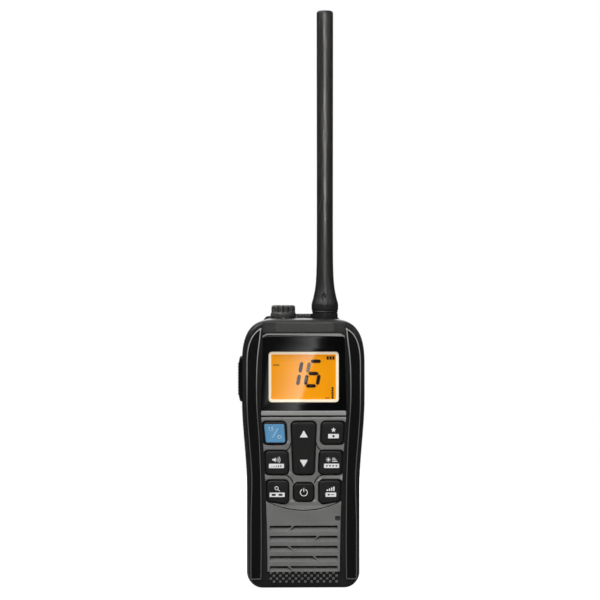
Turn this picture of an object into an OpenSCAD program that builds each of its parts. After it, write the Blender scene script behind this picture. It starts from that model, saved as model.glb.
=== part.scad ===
// Hand-held marine VHF radio, in millimetres.
// +Z is up, the front faces -Y, and the origin is the middle of the flat base.

/* [Body] */
// Height of the casing from its base to its top plate
body_h = 135.5; // [128:0.5:150]
// Width of the casing at the hips, its widest place
hip_w = 62; // [58:0.5:72]
// Width of the casing below the waist
waist_w = 56.8; // [55:0.2:58]
// Height above the base where the waist ends
waist_z = 50; // [46:1:56]
// Distance from the casing's top down to where the hips are fully wide
hip_drop = 39.5; // [32:0.5:45]
// Height of the shoulders, from where they start to curve in up to the casing's top
shoulder_h = 25.5; // [22:0.5:29]
// How far each shoulder curves in towards the middle
shoulder_run = 19; // [14:0.5:20]
// Radius of the two lower corners of the outline
corner_r = 8; // [5:0.5:10]
// Depth of the front face ahead of the origin
face_d = 15.5; // [15:0.1:18]
// Depth of the back of the battery pack behind the origin
back_d = 19; // [18:0.5:22]
// Depth of the battery seat behind the origin
seat_d = 8; // [7.8:0.1:9]
// Depth of the parting line ahead of the origin
parting_d = 2; // [1.8:0.1:2.4]
// Thickness of the front wall
front_wall = 2; // [1.6:0.1:2.2]
// Thickness of the casing's side walls, measured in from the outline
side_wall = 2.9; // [2.6:0.1:3.2]
// Thickness of the rear casing's wall in front of the battery
seat_wall = 2; // [1.6:0.1:2.2]
// Distance from the casing's top down to the ledge over the battery
ledge_drop = 30; // [28.5:0.5:31.5]
// Depth of the top wall that carries knob and antenna
top_wall = 5.2; // [5:0.1:6]

/* [Front panels] */
// Thickness of the panels that lie on the front face
panel_t = 1.5; // [1.2:0.1:1.8]
// Half width of the centre panels at the foot
panel_foot = 18.1; // [17:0.1:18.4]
// Half width of the centre panels at the top of the keypad
panel_top = 21.5; // [21:0.1:21.8]
// Height above the base of the bottom edge of the centre panels
panel_z = 2.2; // [1.5:0.1:3]
// Width of a grip rail
rail_w = 5.2; // [4.6:0.1:5.4]
// How far a rail stands in from the outline at the sides
rail_inset = 2.1; // [2:0.1:2.6]
// How far a rail stands in from the outline at the shoulders
rail_drop = 3.3; // [3:0.1:4]
// Height of a rail above the front face
rail_h = 1.7; // [1.4:0.1:2]
// Height above the base of the foot of the rails
rail_z = 4.5; // [4:0.5:8]
// How far the top plate stands in from the hips at each side
cap_in = 10.4; // [10.2:0.1:12]
// Distance from the casing's top down to the window's top edge
cap_drop = 8.5; // [7.5:0.1:10]
// Height above the base of the window's bottom edge
window_z = 89.4; // [89:0.1:90]
// Height of the trim strip above the window
trim_h = 1.3; // [1:0.1:1.5]
// Clearance between panels that lie side by side
panel_gap = 0.12; // [0.1:0.01:0.2]

/* [Display] */
// Width of the display frame
lcd_w = 35.2; // [33:0.1:36]
// Height of the display frame
lcd_h = 25.3; // [24:0.1:26]
// Height of the display frame above the window's bottom edge
lcd_rise = 4.2; // [3.6:0.1:5]
// Width of the display frame's border
lcd_rim = 1.3; // [1:0.1:1.6]
// Thickness of the display glass
glass_t = 1.3; // [1:0.1:1.4]

/* [Keys] */
// Depth of the gap round a key
key_gap = 0.4; // [0.3:0.05:0.5]
// How far a key stands proud of the front face
key_proud = 2.4; // [2.1:0.1:2.8]
// Travel of a pressed key
key_travel = 0.8; // [0.5:0.05:0.85]
// Width of the web between the outer keys and the middle column
web_w = 1.9; // [1.8:0.05:2.1]
// Thickness of a key's retaining flange
flange_t = 0.6; // [0.5:0.05:0.7]
// How far a key's flange reaches past its opening
flange_w = 0.5; // [0.4:0.05:0.55]
// Height above the base of the keypad's top bar
bar_z = 86.9; // [86.6:0.1:87.2]
// Radius of the arc that ends the keypad at the bottom
arc_r = 39.7; // [38:0.1:44]
// Height above the base of the lowest point of that arc
arc_z = 39.6; // [39:0.1:40]
// Radius of the rocker key's pivot pins
rocker_pin_r = 0.7; // [0.6:0.05:0.8]

/* [Grille] */
// How far a grille slot's ends stand in from the panel's foot edges
slot_in = 1.1; // [1:0.1:3]
// Height of a grille slot
slot_h = 2.5; // [2:0.1:2.8]
// Distance between slots
slot_pitch = 5.06; // [4.6:0.02:5.2]
// Number of grille slots
slots = 5; // [3:1:5]
// Height above the base of the top slot's middle
slot_z = 30.3; // [29:0.1:31]
// Width of the diagonal rib in a slot
rib_w = 1; // [0.8:0.1:1.4]
// Radius of the speaker's frame
speaker_r = 14; // [12:0.5:14.5]
// Height above the base of the speaker's middle
speaker_z = 21.5; // [20:0.5:23]
// Radius of the microphone
mic_r = 1.5; // [1.2:0.1:1.6]
// Height above the base of the microphone
mic_z = 35; // [34:0.1:35.5]

/* [Knob] */
// Distance of the knob to the left of the middle
knob_x = 9.7; // [9:0.1:10.5]
// How far knob and antenna stand behind the origin
control_y = 3.5; // [3.2:0.1:4]
// Radius of the knob's fluted head
knob_r = 6.2; // [5.5:0.1:6.4]
// Radius of the knob's skirt
skirt_r = 6.5; // [6.3:0.1:6.8]
// Height of the knob
knob_h = 6.3; // [5.5:0.1:8]
// Height of the knob's skirt
skirt_h = 2.2; // [1.5:0.1:2.6]
// Number of flutes round the knob
flutes = 12; // [8:1:16]
// Radius of the encoder's shaft
shaft_r = 3; // [2.5:0.1:3.2]
// Running clearance of the shaft in its bush
run_gap = 0.05; // [0.03:0.01:0.08]

/* [Antenna] */
// Distance of the antenna to the right of the middle
antenna_x = 11.5; // [11:0.1:12]
// Height above the base of the antenna's tip
antenna_tip = 292.3; // [200:0.1:320]
// Radius of the antenna's whip
whip_r = 4.2; // [3.5:0.1:4.4]
// Radius of the antenna's boot at its widest
boot_r = 6.8; // [6.4:0.1:7]
// Height of the boot's taper
boot_h = 16; // [12:0.5:24]
// Height of the collar that the antenna stands on
collar_h = 4; // [3:0.1:5]
// Radius of the antenna's plug
plug_r = 2.6; // [2.2:0.1:2.8]
// Length of the plug below the antenna's boot
plug_l = 9; // [7:0.5:10]

/* [Push-to-talk key] */
// Distance from the casing's top down to the key's upper end
ptt_drop = 18.5; // [18:0.1:19.8]
// Length of the key
ptt_l = 23.6; // [20:0.2:24]
// Width of the key, front to back
ptt_w = 7.4; // [6:0.2:7.6]
// How far the key stands out of the casing's side
ptt_proud = 1.7; // [1.2:0.1:2]
// Travel of the key
ptt_travel = 1; // [0.6:0.1:1.2]

/* [Audio jack] */
// Radius of the jack's bore
jack_r = 1.77; // [1.27:0.01:1.8]
// Length of the jack's bore
jack_l = 13; // [11:0.5:13.5]
// Distance from the casing's top down to the jack's axis
jack_drop = 30.5; // [28:0.5:32]
// Height of the jack's cover
cover_h = 12; // [11:0.2:13]
// Width of the jack's cover, front to back
cover_w = 8; // [7.6:0.1:8.2]
// Thickness of the jack's cover
cover_t = 1.2; // [1:0.1:1.4]

/* [Battery] */
// Clearance above the battery pack
pack_gap = 0.4; // [0.3:0.05:0.6]
// Wall of the battery case
pack_wall = 1.6; // [1.4:0.1:1.8]
// Width of one battery cell
cell_w = 18; // [16:0.2:18.2]
// Height of a battery cell
cell_h = 72; // [60:1:76]
// Thickness of a battery cell
cell_t = 5.6; // [4:0.1:5.8]
// Height above the base of the cells' lower ends
cell_z = 22; // [21:0.5:24]
// Width of the battery latch
latch_w = 18; // [14:0.5:20]
// Travel of the battery latch
latch_travel = 2.5; // [2:0.1:2.6]

/* [Belt clip] */
// Width of the clip's arm
clip_w = 20; // [16:0.5:22]
// Distance from the casing's top down to the clip's pin
clip_drop = 18.5; // [17.5:0.1:19.5]
// Height above the base of the clip's lower end
clip_foot = 56; // [40:1:70]
// Depth of the gap for a belt
belt_gap = 5.2; // [5:0.1:7]
// Thickness of the clip's arm
clip_t = 2.2; // [1.8:0.1:2.6]
// Radius of the clip's pin
pin_r = 1.2; // [1:0.1:1.3]

/* [Hidden] */
$fn = 48;

// Clearance between pieces of one assembly
fit = 0.1;
// Steps of the outline's lower corner, side and shoulder
corner_steps = 5;
side_steps = 6;
shoulder_steps = 9;
// Exponent of the shoulder's rounded curve
shoulder_power = 3;

// Depth levels, counted from the origin and negative to the front
face_y = -face_d;
panel_y = face_y - panel_t;
inner_y = face_y + front_wall;
parting_y = -parting_d;
seat_in_y = seat_d - seat_wall;
glass_y = inner_y - 0.5;
light_y = glass_y + glass_t + fit;
flange_y = inner_y + fit;
mat_y = flange_y + flange_t + key_travel + fit;
mat_t = 0.45;
dome_t = 0.28;
board_y = mat_y + mat_t + dome_t + 0.04;
board_t = 1.2;
main_y = parting_y - 0.6;

// Places that are counted down from the casing's top or in from its sides
hip_z = body_h - hip_drop;
shoulder_z = body_h - shoulder_h;
ledge_z = body_h - ledge_drop;
window_top = body_h - cap_drop;
cap_top = body_h - 1.6;
cap_half = hip_w / 2 - cap_in;
ptt_z = body_h - ptt_drop - ptt_l;
jack_z = body_h - jack_drop;
clip_z = body_h - clip_drop;
lcd_z = window_z + lcd_rise;
slot_half = panel_foot - slot_in;

// Outline of the casing, seen from the front, right half from the base up

function ease(t) = t <= 0 ? 0 : t >= 1 ? 1 : t * t * (3 - 2 * t);

function half_at(z) = waist_w / 2 + (hip_w - waist_w) / 2 * ease((z - waist_z) / (hip_z - waist_z));

function right_side() = concat(
    [for (i = [0:corner_steps]) let (a = -90 + 90 * i / corner_steps)
        [waist_w / 2 - corner_r + corner_r * cos(a), corner_r + corner_r * sin(a)]],
    [for (i = [0:side_steps]) let (z = waist_z + (hip_z - waist_z) * i / side_steps) [half_at(z), z]],
    [for (i = [0:shoulder_steps]) let (a = 90 * i / shoulder_steps)
        [hip_w / 2 - shoulder_run + shoulder_run * pow(cos(a), 2 / shoulder_power),
         shoulder_z + (body_h - shoulder_z) * pow(sin(a), 2 / shoulder_power)]]
);

function mirrored(half) = concat(half, [for (i = [len(half) - 1:-1:0]) [-half[i].x, half[i].y]]);

function outward(p, i) = let (
    n = len(p),
    t = p[(i + 1) % n] - p[(i + n - 1) % n],
    l = norm(t)
) [t.y / l, -t.x / l];

// The outline drawn in by side, and lifted off the base by base
function drawn_in(side, base) = let (p = mirrored(right_side())) [
    for (i = [0:len(p) - 1]) let (o = outward(p, i))
        [p[i].x - o.x * side, p[i].y - o.y * (o.y < 0 ? base : side)]
];

// A closed form through rings of points, each ring at its own depth
module loft(rings) {
    n = len(rings[0]);
    last = len(rings) - 1;
    points = [for (ring = rings, p = ring) p];
    sides = [
        for (k = [0:last - 1], i = [0:n - 1], half = [0, 1])
            let (j = (i + 1) % n, a = k * n + i, b = k * n + j, c = a + n, d = b + n)
            half == 0 ? [a, b, c] : [b, d, c]
    ];
    front = [[for (i = [n - 1:-1:0]) i]];
    back = [[for (i = [0:n - 1]) last * n + i]];
    polyhedron(points, concat(front, sides, back));
}

// profile is a list of [depth, side inset, lift off the base]
module outline_loft(profile) {
    loft([for (row = profile) [for (p = drawn_in(row[1], row[2])) [p.x, row[0], p.y]]]);
}

// A flat plate with a front-view outline, from the depth y0 to the depth y1
module plate(points, y0, y1) {
    translate([0, y1, 0])
        rotate([90, 0, 0])
            linear_extrude(y1 - y0)
                polygon(points);
}

module block(low, high) {
    translate(low)
        cube(high - low);
}

// Cylinders along each axis, from a start point
module rod_x(start, r, l) {
    translate(start)
        rotate([0, 90, 0])
            cylinder(h = l, r = r);
}

module rod_y(start, r, l) {
    translate(start)
        rotate([-90, 0, 0])
            cylinder(h = l, r = r);
}

module rod_z(start, r, l) {
    translate(start)
        cylinder(h = l, r = r);
}

// A polygon with each corner replaced by an arc
function rounded(points, r, steps = 4) = let (n = len(points)) [
    for (i = [0:n - 1])
        let (
            p = points[i],
            u = (points[(i + n - 1) % n] - p) / norm(points[(i + n - 1) % n] - p),
            v = (points[(i + 1) % n] - p) / norm(points[(i + 1) % n] - p),
            half = acos(u * v) / 2,
            centre = p + (u + v) / norm(u + v) * r / sin(half),
            a = p + u * r / tan(half) - centre,
            turn = 180 - 2 * half
        )
        for (s = [0:steps])
            let (t = turn * s / steps)
            centre + [a.x * cos(t) - a.y * sin(t), a.x * sin(t) + a.y * cos(t)]
];

function box(x0, z0, x1, z1) = [[x0, z0], [x1, z0], [x1, z1], [x0, z1]];

// Four corners grown outwards by d, in the order bottom left, bottom right, top right, top left
function grown(q, d) = [q[0] + [-d, -d], q[1] + [d, -d], q[2] + [d, d], q[3] + [-d, d]];

function flipped(q) = [for (i = [3:-1:0]) let (p = q[[1, 0, 3, 2][3 - i]]) [-p.x, p.y]];

// ---- Front panels

function panel_half(z) = panel_foot + (panel_top - panel_foot) * pow(max(0, z - panel_z) / (window_z - panel_z), 2);

function arc_at(x) = arc_z + arc_r - sqrt(arc_r * arc_r - x * x);

panel_steps = 6;

function panel_edge(z0, z1, side) = [
    for (i = [0:panel_steps])
        let (z = side > 0 ? z0 + (z1 - z0) * i / panel_steps : z1 + (z0 - z1) * i / panel_steps)
        [side * panel_half(z), z]
];

// The arc between keypad and grille, from left to right
function arc_line(drop, half) = [
    for (i = [0:10]) let (x = -half + 2 * half * i / 10) [x, arc_at(x) - drop]
];

// Height where the arc meets the panel's edge
arc_end_z = arc_at(panel_half(arc_z + 5));
arc_half = panel_half(arc_end_z);

// ---- Keys: openings in the front, in the order bottom left, bottom right, top right, top left

well_r = 2.6;
rocker_half = 6.7;
rocker_foot = 5.6;
rocker_z = 56.9;
rocker_top = 84.2;
power_half = 5.4;
power_z = 43.6;
power_top = 53.4;
rocker_mid = (rocker_z + rocker_top) / 2;
row_z = [72.2, 57, 42.6];
row_top = [84.2, 69.6, 54.8];

function rocker_at(z) = rocker_foot + (rocker_half - rocker_foot) * (z - rocker_z) / (rocker_top - rocker_z);

function inner_x(row, z) = row == 2 ? power_half + web_w : rocker_at(z) + web_w - 0.4 * row;

function left_well(row) = let (z0 = row_z[row], z1 = row_top[row]) [
    [-panel_half(z0) + 0.25, z0 + (row == 2 ? 1.2 : 0)],
    [-inner_x(row, z0), z0 - (row == 2 ? 0.7 : 0)],
    [-inner_x(row, z1), z1],
    [-panel_half(z1) + 0.25, z1]
];

rocker_well = [
    [-rocker_foot, rocker_z], [rocker_foot, rocker_z],
    [rocker_half, rocker_top], [-rocker_half, rocker_top]
];
power_well = box(-power_half, power_z, power_half, power_top);
side_wells = [for (row = [0:2]) left_well(row)];
wells = concat(side_wells, [for (q = side_wells) flipped(q)], [power_well]);

key_y = face_y - key_proud;

module key(q) {
    plate(rounded(grown(q, -key_gap), well_r - key_gap), key_y, flange_y + fit);
    plate(rounded(grown(q, flange_w), well_r), flange_y, flange_y + flange_t);
}

// ---- Casing

front_profile = [
    [face_y, 2, 1.4], [face_y + 0.6, 1.1, 0.7], [face_y + 2, 0.4, 0.2],
    [face_y + 5.5, 0.05, 0], [face_y + 9.5, 0, 0], [parting_y, 0.5, 0]
];

rear_profile = [
    [parting_y, 0.5, 0], [parting_y + 4, 0.9, 0], [seat_d, 2, 0],
    [seat_d + (back_d - seat_d) * 0.36, 2.8, 0], [seat_d + (back_d - seat_d) * 0.68, 3.9, 0.3],
    [back_d - 1.2, 5.2, 1.2], [back_d, 6.8, 2.4]
];

boss_r = 2.7;
screw_r = 1;
screw_head_r = 1.9;
// Heights of the case screws, and how far they stand in from the outline
screw_rows = [[9.5, 6.2], [88, 6.4]];
screw_places = [for (row = screw_rows, side = [-1, 1]) [side * (half_at(row[0]) - row[1]), row[0]]];

module at_screws() {
    for (p = screw_places)
        translate([p.x, 0, p.y])
            children();
}

ptt_y = face_y + 4.2;
ptt_in = 0.6;
ptt_gap = 0.35;
cover_y = face_y + 4.9;
cover_x = hip_w / 2 - cover_t - 0.35;
hinge_r = 0.8;
jack_y = cover_y + cover_w / 2 - 0.4;
speaker_hole = box(-slot_half, slot_z - slot_pitch * (slots - 1) - 0.6, slot_half, slot_z + slot_h / 2);

module front_shell() {
    color([0.17, 0.17, 0.17])
        difference() {
            union() {
                difference() {
                    outline_loft(front_profile);
                    plate(drawn_in(side_wall, side_wall), inner_y, parting_y + 1);
                }
                at_screws()
                    rod_y([0, inner_y, 0], boss_r, parting_y - inner_y);
            }
            at_screws()
                rod_y([0, parting_y - 7, 0], screw_r + fit, 8);
            plate(rounded(grown(lcd_box(), fit), 1.5), face_y - 1, inner_y + 1);
            for (q = wells)
                plate(rounded(q, well_r), face_y - 1, inner_y + 1);
            plate(rounded(rocker_well, well_r), face_y - 1, inner_y + 1);
            rocker_slots();
            plate(speaker_hole, face_y - 1, inner_y + 1);
            rod_y([mic_x, face_y - 1, mic_z], mic_r - 0.5, front_wall + 2);
            ptt_opening();
            cover_opening();
        }
}

mic_x = panel_foot - 1.6;

function lcd_box() = box(-lcd_w / 2, lcd_z, lcd_w / 2, lcd_z + lcd_h);

rocker_y = face_y + 0.9;
pivot_slot = 1.2;

// Slots for the rocker's pivot pins, open to the inside of the casing
module rocker_slots() {
    r = rocker_pin_r + run_gap;
    for (side = [-1, 1])
        translate([side * rocker_at(rocker_mid), 0, 0]) {
            rod_x([-pivot_slot, rocker_y, rocker_mid], r, 2 * pivot_slot);
            block([-pivot_slot, rocker_y, rocker_mid - r], [pivot_slot, inner_y + 1, rocker_mid + r]);
        }
}

module ptt_opening() {
    block([-hip_w / 2 - 3, ptt_y, ptt_z], [-hip_w / 2 + side_wall + 1, ptt_y + ptt_w, ptt_z + ptt_l]);
}

module cover_opening() {
    block(
        [cover_x - fit, cover_y - fit, jack_z - cover_h / 2 - fit],
        [hip_w / 2 + 2, cover_y + cover_w + fit, jack_z + cover_h / 2 + fit]
    );
    rod_x([hip_w / 2 - side_wall - 2, jack_y, jack_z], jack_r + 1.5, side_wall + 2);
}

module rear_shell() {
    color([0.13, 0.13, 0.13])
        difference() {
            union() {
                difference() {
                    union() {
                        outline_loft(rear_profile);
                        top_ridge();
                        top_deck();
                    }
                    plate(drawn_in(side_wall, side_wall), parting_y - 1, seat_in_y);
                    head_room();
                    block([-hip_w, seat_d, -1], [hip_w, back_d + 5, ledge_z]);
                }
                at_screws()
                    rod_y([0, parting_y, 0], boss_r, seat_in_y - parting_y + 0.5);
            }
            at_screws() {
                rod_y([0, parting_y - 1, 0], screw_r + 0.2, seat_d + parting_d + 2);
                rod_y([0, seat_d - 2.2, 0], screw_head_r + 0.2, 4);
            }
            gasket_ring(gasket_gap, parting_y - 0.5, parting_y + gasket_t + gasket_gap);
            rod_z([antenna_x, control_y, cavity_top - 1], socket_r + fit, top_wall + 3);
            rod_z([-knob_x, control_y, cavity_top - 1], bush_r + fit, top_wall + 3);
            for (x = contact_x)
                rod_y([x, seat_in_y - 1, contact_z], contact_r + fit, seat_wall + 2);
            latch_passage(latch_gap, seat_in_y - 1, seat_d + 1);
            clip_screw_holes(fit);
        }
}

ridge_half = 19.5;
ridge_h = 2.4;
ridge_y = control_y + skirt_r + 0.7;
ridge_t = 5.4;

module top_ridge() {
    plate([
        [-ridge_half, body_h - 3], [ridge_half, body_h - 3], [ridge_half, body_h - 0.5],
        [ridge_half - 1.6, body_h + ridge_h / 2], [ridge_half - 5, body_h + ridge_h / 2 + 0.3],
        [ridge_half - 7, body_h + ridge_h], [7 - ridge_half, body_h + ridge_h],
        [5 - ridge_half, body_h + ridge_h / 2 + 0.3], [1.6 - ridge_half, body_h + ridge_h / 2],
        [-ridge_half, body_h - 0.5]
    ], ridge_y, ridge_y + ridge_t);
}

// The flat deck that knob and antenna stand on
module top_deck() {
    plate([
        [1 - ridge_half, cavity_top + 1], [ridge_half - 1, cavity_top + 1], [ridge_half - 1, body_h - 0.6],
        [ridge_half - 3, body_h], [3 - ridge_half, body_h], [1 - ridge_half, body_h - 0.6]
    ], parting_y, ridge_y + 1);
}

// The hollow behind the ledge, above the battery
module head_room() {
    intersection() {
        union() {
            plate(drawn_in(top_wall, top_wall), seat_in_y - 1, seat_d + 4);
            plate(box(-deep_half, ledge_z, deep_half, body_h - 8), seat_d + 3, back_d - 2.2);
        }
        block([-hip_w, 0, ledge_z + 2.2], [hip_w, back_d, cavity_top]);
    }
}

gasket_in = 1.1;
gasket_w = 0.8;
gasket_t = 0.9;
gasket_gap = 0.06;

// A ring that follows the outline, wider by grow on both sides
module gasket_ring(grow, y0, y1) {
    outer = gasket_in - grow;
    inner = gasket_in + gasket_w + grow;
    difference() {
        plate(drawn_in(outer, outer), y0, y1);
        plate(drawn_in(inner, inner), y0 - 1, y1 + 1);
    }
}

module case_gasket() {
    color([0.35, 0.12, 0.1])
        gasket_ring(0, parting_y, parting_y + gasket_t);
}

// ---- Panels on the front face

// Outer edge of the right rail, from its foot to its top end
function rail_outer() = let (
    a = shoulder_run - rail_inset,
    b = body_h - shoulder_z - rail_drop,
    end = acos(pow((cap_half + 0.6 - hip_w / 2 + shoulder_run) / a, shoulder_power / 2))
) concat(
    [for (i = [0:side_steps + 1])
        let (z = rail_z + (shoulder_z - rail_z) * i / (side_steps + 2)) [half_at(z) - rail_inset + rail_toe(z), z]],
    [for (i = [0:shoulder_steps - 1]) let (t = end * i / (shoulder_steps - 1))
        [hip_w / 2 - shoulder_run + a * pow(cos(t), 2 / shoulder_power),
         shoulder_z + b * pow(sin(t), 2 / shoulder_power)]]
);

// Below the waist the rail's edge comes nearer to the outline
function rail_toe(z) = 0.6 * (1 - ease((z - waist_z + 20) / 30)) * (z > rail_z ? 1 : 0);

// Heights where the rail's inner line bends beside the panels, and its distance from them there
rail_bends = [[74, 1.5], [52, 1.9], [24, 2.6], [rail_z, 3]];

// Inner edge of the right rail, from its top end to its foot
function rail_line_in() = concat(
    [
        [cap_half + 0.6, window_top + 3.6],
        [cap_half + 1, window_top - 0.8],
        [hip_w / 2 - rail_inset - rail_w - 0.7, shoulder_z + 3],
        [hip_w / 2 - rail_inset - rail_w - 0.5, hip_z - 2]
    ],
    [for (bend = rail_bends) [panel_half(bend[0]) + bend[1], bend[0]]]
);

function rail_shape() = concat(rail_outer(), rail_line_in());

module rail(side) {
    color([0.12, 0.12, 0.12])
        mirror([side < 0 ? 1 : 0, 0, 0])
            plate(rail_shape(), face_y - rail_h, face_y);
}

module rail_left() { rail(-1); }

module rail_right() { rail(1); }

field_x0 = -14.2;
field_x1 = 15.3;

module top_plate() {
    color([0.28, 0.28, 0.28]) {
        z0 = window_top + trim_h + panel_gap;
        plate(rounded(box(-cap_half, z0, cap_half, cap_top), 0.6), panel_y, face_y);
        plate(rounded(box(field_x0, z0 + 0.5, field_x1, cap_top - 0.3), 0.9), panel_y - 0.25, panel_y);
    }
}

module window_trim() {
    color([0.72, 0.72, 0.72])
        plate([
            [-cap_half, window_top - 0.6], [-cap_half + 2, window_top], [cap_half - 2, window_top],
            [cap_half, window_top - 0.6], [cap_half, window_top + trim_h - 0.5],
            [cap_half - 2, window_top + trim_h], [-cap_half + 2, window_top + trim_h],
            [-cap_half, window_top + trim_h - 0.5]
        ], panel_y - 0.2, face_y);
}

module lens() {
    color([0.02, 0.02, 0.02, 0.6])
        plate([
            [-panel_top, window_z], [panel_top, window_z], [cap_half - 0.1, window_top - 1],
            [cap_half - 2, window_top - panel_gap], [-cap_half + 2, window_top - panel_gap],
            [-cap_half + 0.1, window_top - 1]
        ], panel_y + 0.1, face_y);
}

module lcd_frame() {
    color([0.95, 0.93, 0.88])
        difference() {
            plate(rounded(lcd_box(), 1.4), face_y + fit, glass_y - fit);
            plate(rounded(grown(lcd_box(), -lcd_rim), 0.8), face_y - 1, glass_y + 1);
        }
}

module lcd_glass() {
    color([0.92, 0.6, 0.1])
        plate(rounded(grown(lcd_box(), -0.2), 1.5), glass_y, glass_y + glass_t);
}

module backlight() {
    color([0.9, 0.9, 0.85])
        plate(grown(lcd_box(), 0.4), light_y, board_y - fit);
}

bar_groove = 0.8;

module keypad_frame() {
    color([0.45, 0.45, 0.45])
        difference() {
            plate(
                concat(
                    arc_line(0, arc_half),
                    panel_edge(arc_end_z, window_z - panel_gap, 1),
                    panel_edge(arc_end_z, window_z - panel_gap, -1)
                ),
                panel_y, face_y
            );
            for (q = wells)
                plate(rounded(grown(q, 0.02), well_r), panel_y - 1, face_y + 1);
            plate(rounded(rocker_well, well_r), panel_y - 1, face_y + 1);
            block(
                [-hip_w, panel_y - 1, bar_z - bar_groove],
                [hip_w, panel_y + 0.6, bar_z]
            );
        }
}

knurl_rows = 4;
knurl_cell = 1.57;
knurl_z = 3;

module grille_panel() {
    color([0.4, 0.4, 0.4])
        difference() {
            union() {
                plate(
                    concat(
                        panel_edge(panel_z, arc_end_z - panel_gap, 1),
                        [for (i = [9:-1:1]) arc_line(panel_gap, arc_half)[i]],
                        panel_edge(panel_z, arc_end_z - panel_gap, -1)
                    ),
                    panel_y, face_y
                );
                knurling();
            }
            for (row = [0:slots - 1])
                grille_slot(row);
            rod_y([mic_x, panel_y - 1, mic_z], mic_r - 0.5, panel_t + 2);
        }
}

// One slot, with a diagonal rib left standing across it
module grille_slot(row) {
    z = slot_z - row * slot_pitch;
    lean = row < 2 ? 1.3 : -1.3;
    rib_x = row % 2 == 0 ? -6.4 : 6.2;
    h = slot_h / 2;
    w = rib_w / 2;
    plate([[-slot_half, z - h], [rib_x - lean - w, z - h], [rib_x + lean - w, z + h], [-slot_half, z + h]],
        panel_y - 1, face_y + 1);
    plate([[rib_x - lean + w, z - h], [slot_half, z - h], [slot_half, z + h], [rib_x + lean + w, z + h]],
        panel_y - 1, face_y + 1);
}

module knurling() {
    columns = floor((panel_foot - 0.8) / knurl_cell);
    for (row = [0:knurl_rows - 1], i = [-columns:2:columns - 1])
        translate([(i + row % 2) * knurl_cell, panel_y - 0.3, knurl_z + row * knurl_cell * 0.9])
            cube([knurl_cell * 0.94, 0.5, knurl_cell * 0.84]);
}

// ---- Behind the front

module grille_membrane() {
    color([0.08, 0.08, 0.08])
        plate(grown(speaker_hole, -0.15), face_y + fit, face_y + 0.4);
}

cone_y = inner_y + fit;

module speaker_frame() {
    color([0.55, 0.55, 0.57])
        difference() {
            union() {
                rod_y([0, cone_y, speaker_z], speaker_r, 1.4);
                rod_y([0, cone_y + 1.4, speaker_z], speaker_r - 3, 3);
            }
            rod_y([0, cone_y - 1, speaker_z], speaker_r - 1.2, 1.9);
            rod_y([0, cone_y, speaker_z], speaker_r - 4, 3.6);
        }
}

module speaker_cone() {
    color([0.2, 0.2, 0.22])
        translate([0, cone_y + 0.05, speaker_z])
            rotate([-90, 0, 0])
                rotate_extrude()
                    polygon([
                        [0, 1.2], [4, 1.2], [speaker_r - 4.2, 0.5], [speaker_r - 1.3, 0.5],
                        [speaker_r - 1.3, 0.8], [speaker_r - 4.3, 0.8], [4.2, 2.8], [4.2, 3.3], [0, 3.3]
                    ]);
}

module speaker_magnet() {
    color([0.5, 0.5, 0.52])
        rod_y([0, cone_y + 4.4, speaker_z], 7.5, 2.6);
}

module microphone() {
    color([0.6, 0.6, 0.6])
        rod_y([mic_x, inner_y + fit, mic_z], mic_r, 1.6);
}

mat_half = panel_foot + 0.6;

module keypad_mat() {
    color([0.3, 0.3, 0.32])
        plate(box(-mat_half, row_z[2] - 0.6, mat_half, row_top[0] + 1), mat_y, mat_y + mat_t);
}

function middle(q) = (q[0] + q[1] + q[2] + q[3]) / 4;

rocker_arm = 8.5;
dome_r = 2.6;
dome_places = concat(
    [for (q = wells) middle(q)],
    [[0, rocker_mid - rocker_arm], [0, rocker_mid + rocker_arm]]
);

module key_domes() {
    color([0.8, 0.78, 0.7])
        for (p = dome_places)
            rod_y([p.x, board_y - dome_t - 0.01, p.y], dome_r, dome_t);
}

module key_board() {
    color([0.1, 0.35, 0.2])
        plate(box(-mat_half, 38, mat_half, lcd_z + lcd_h + 1), board_y, board_y + board_t);
}

board_half = waist_w / 2 - 9.4;
board_low = 14;
board_top = body_h - 18.5;

module main_board() {
    color([0.1, 0.35, 0.2])
        plate(box(-board_half, board_low, board_half, board_top), main_y, main_y + board_t);
}

// A chip on the board's front, h high
module chip(x0, z0, x1, z1, h) {
    block([x0, main_y - h, z0], [x1, main_y, z1]);
}

module board_parts() {
    color([0.08, 0.08, 0.09]) {
        chip(-15, board_low + 30, -5, board_low + 42, 2.2);
        chip(1, board_low + 32, 9, board_low + 40, 1.6);
        chip(-12, board_low + 50, 2, board_low + 62, 1.8);
        chip(6, board_low + 48, 15, board_low + 66, 2.4);
        chip(3 - board_half, board_top - 31, 10 - board_half, board_top - 9, 3.2);
        chip(-4, board_top - 29, 4, board_top - 21, 1.4);
        chip(board_half - 13, board_top - 27, board_half - 6.5, board_top - 7, 2);
    }
}

shield_h = 1.8;
shield_in = 2;

// A pressed cover on the board's back
module shield(x0, z0, x1, z1) {
    block([x0, main_y + board_t, z0], [x1, main_y + board_t + shield_h, z1]);
}

module rf_shields() {
    reach = board_half - shield_in;
    color([0.7, 0.72, 0.74]) {
        shield(-reach, board_low + 6, -2, board_low + 42);
        shield(1, board_low + 6, reach, board_low + 42);
        shield(-reach, board_low + 46, reach, board_top - 25);
    }
}

chassis_y = main_y + board_t + shield_h + fit;
chassis_t = 1.3;
chassis_half = board_half + 1.8;
chassis_side = 1.6;
chassis_low = board_low - 2;
chassis_top = board_top + 1;
chassis_bar = 8.8;

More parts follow.
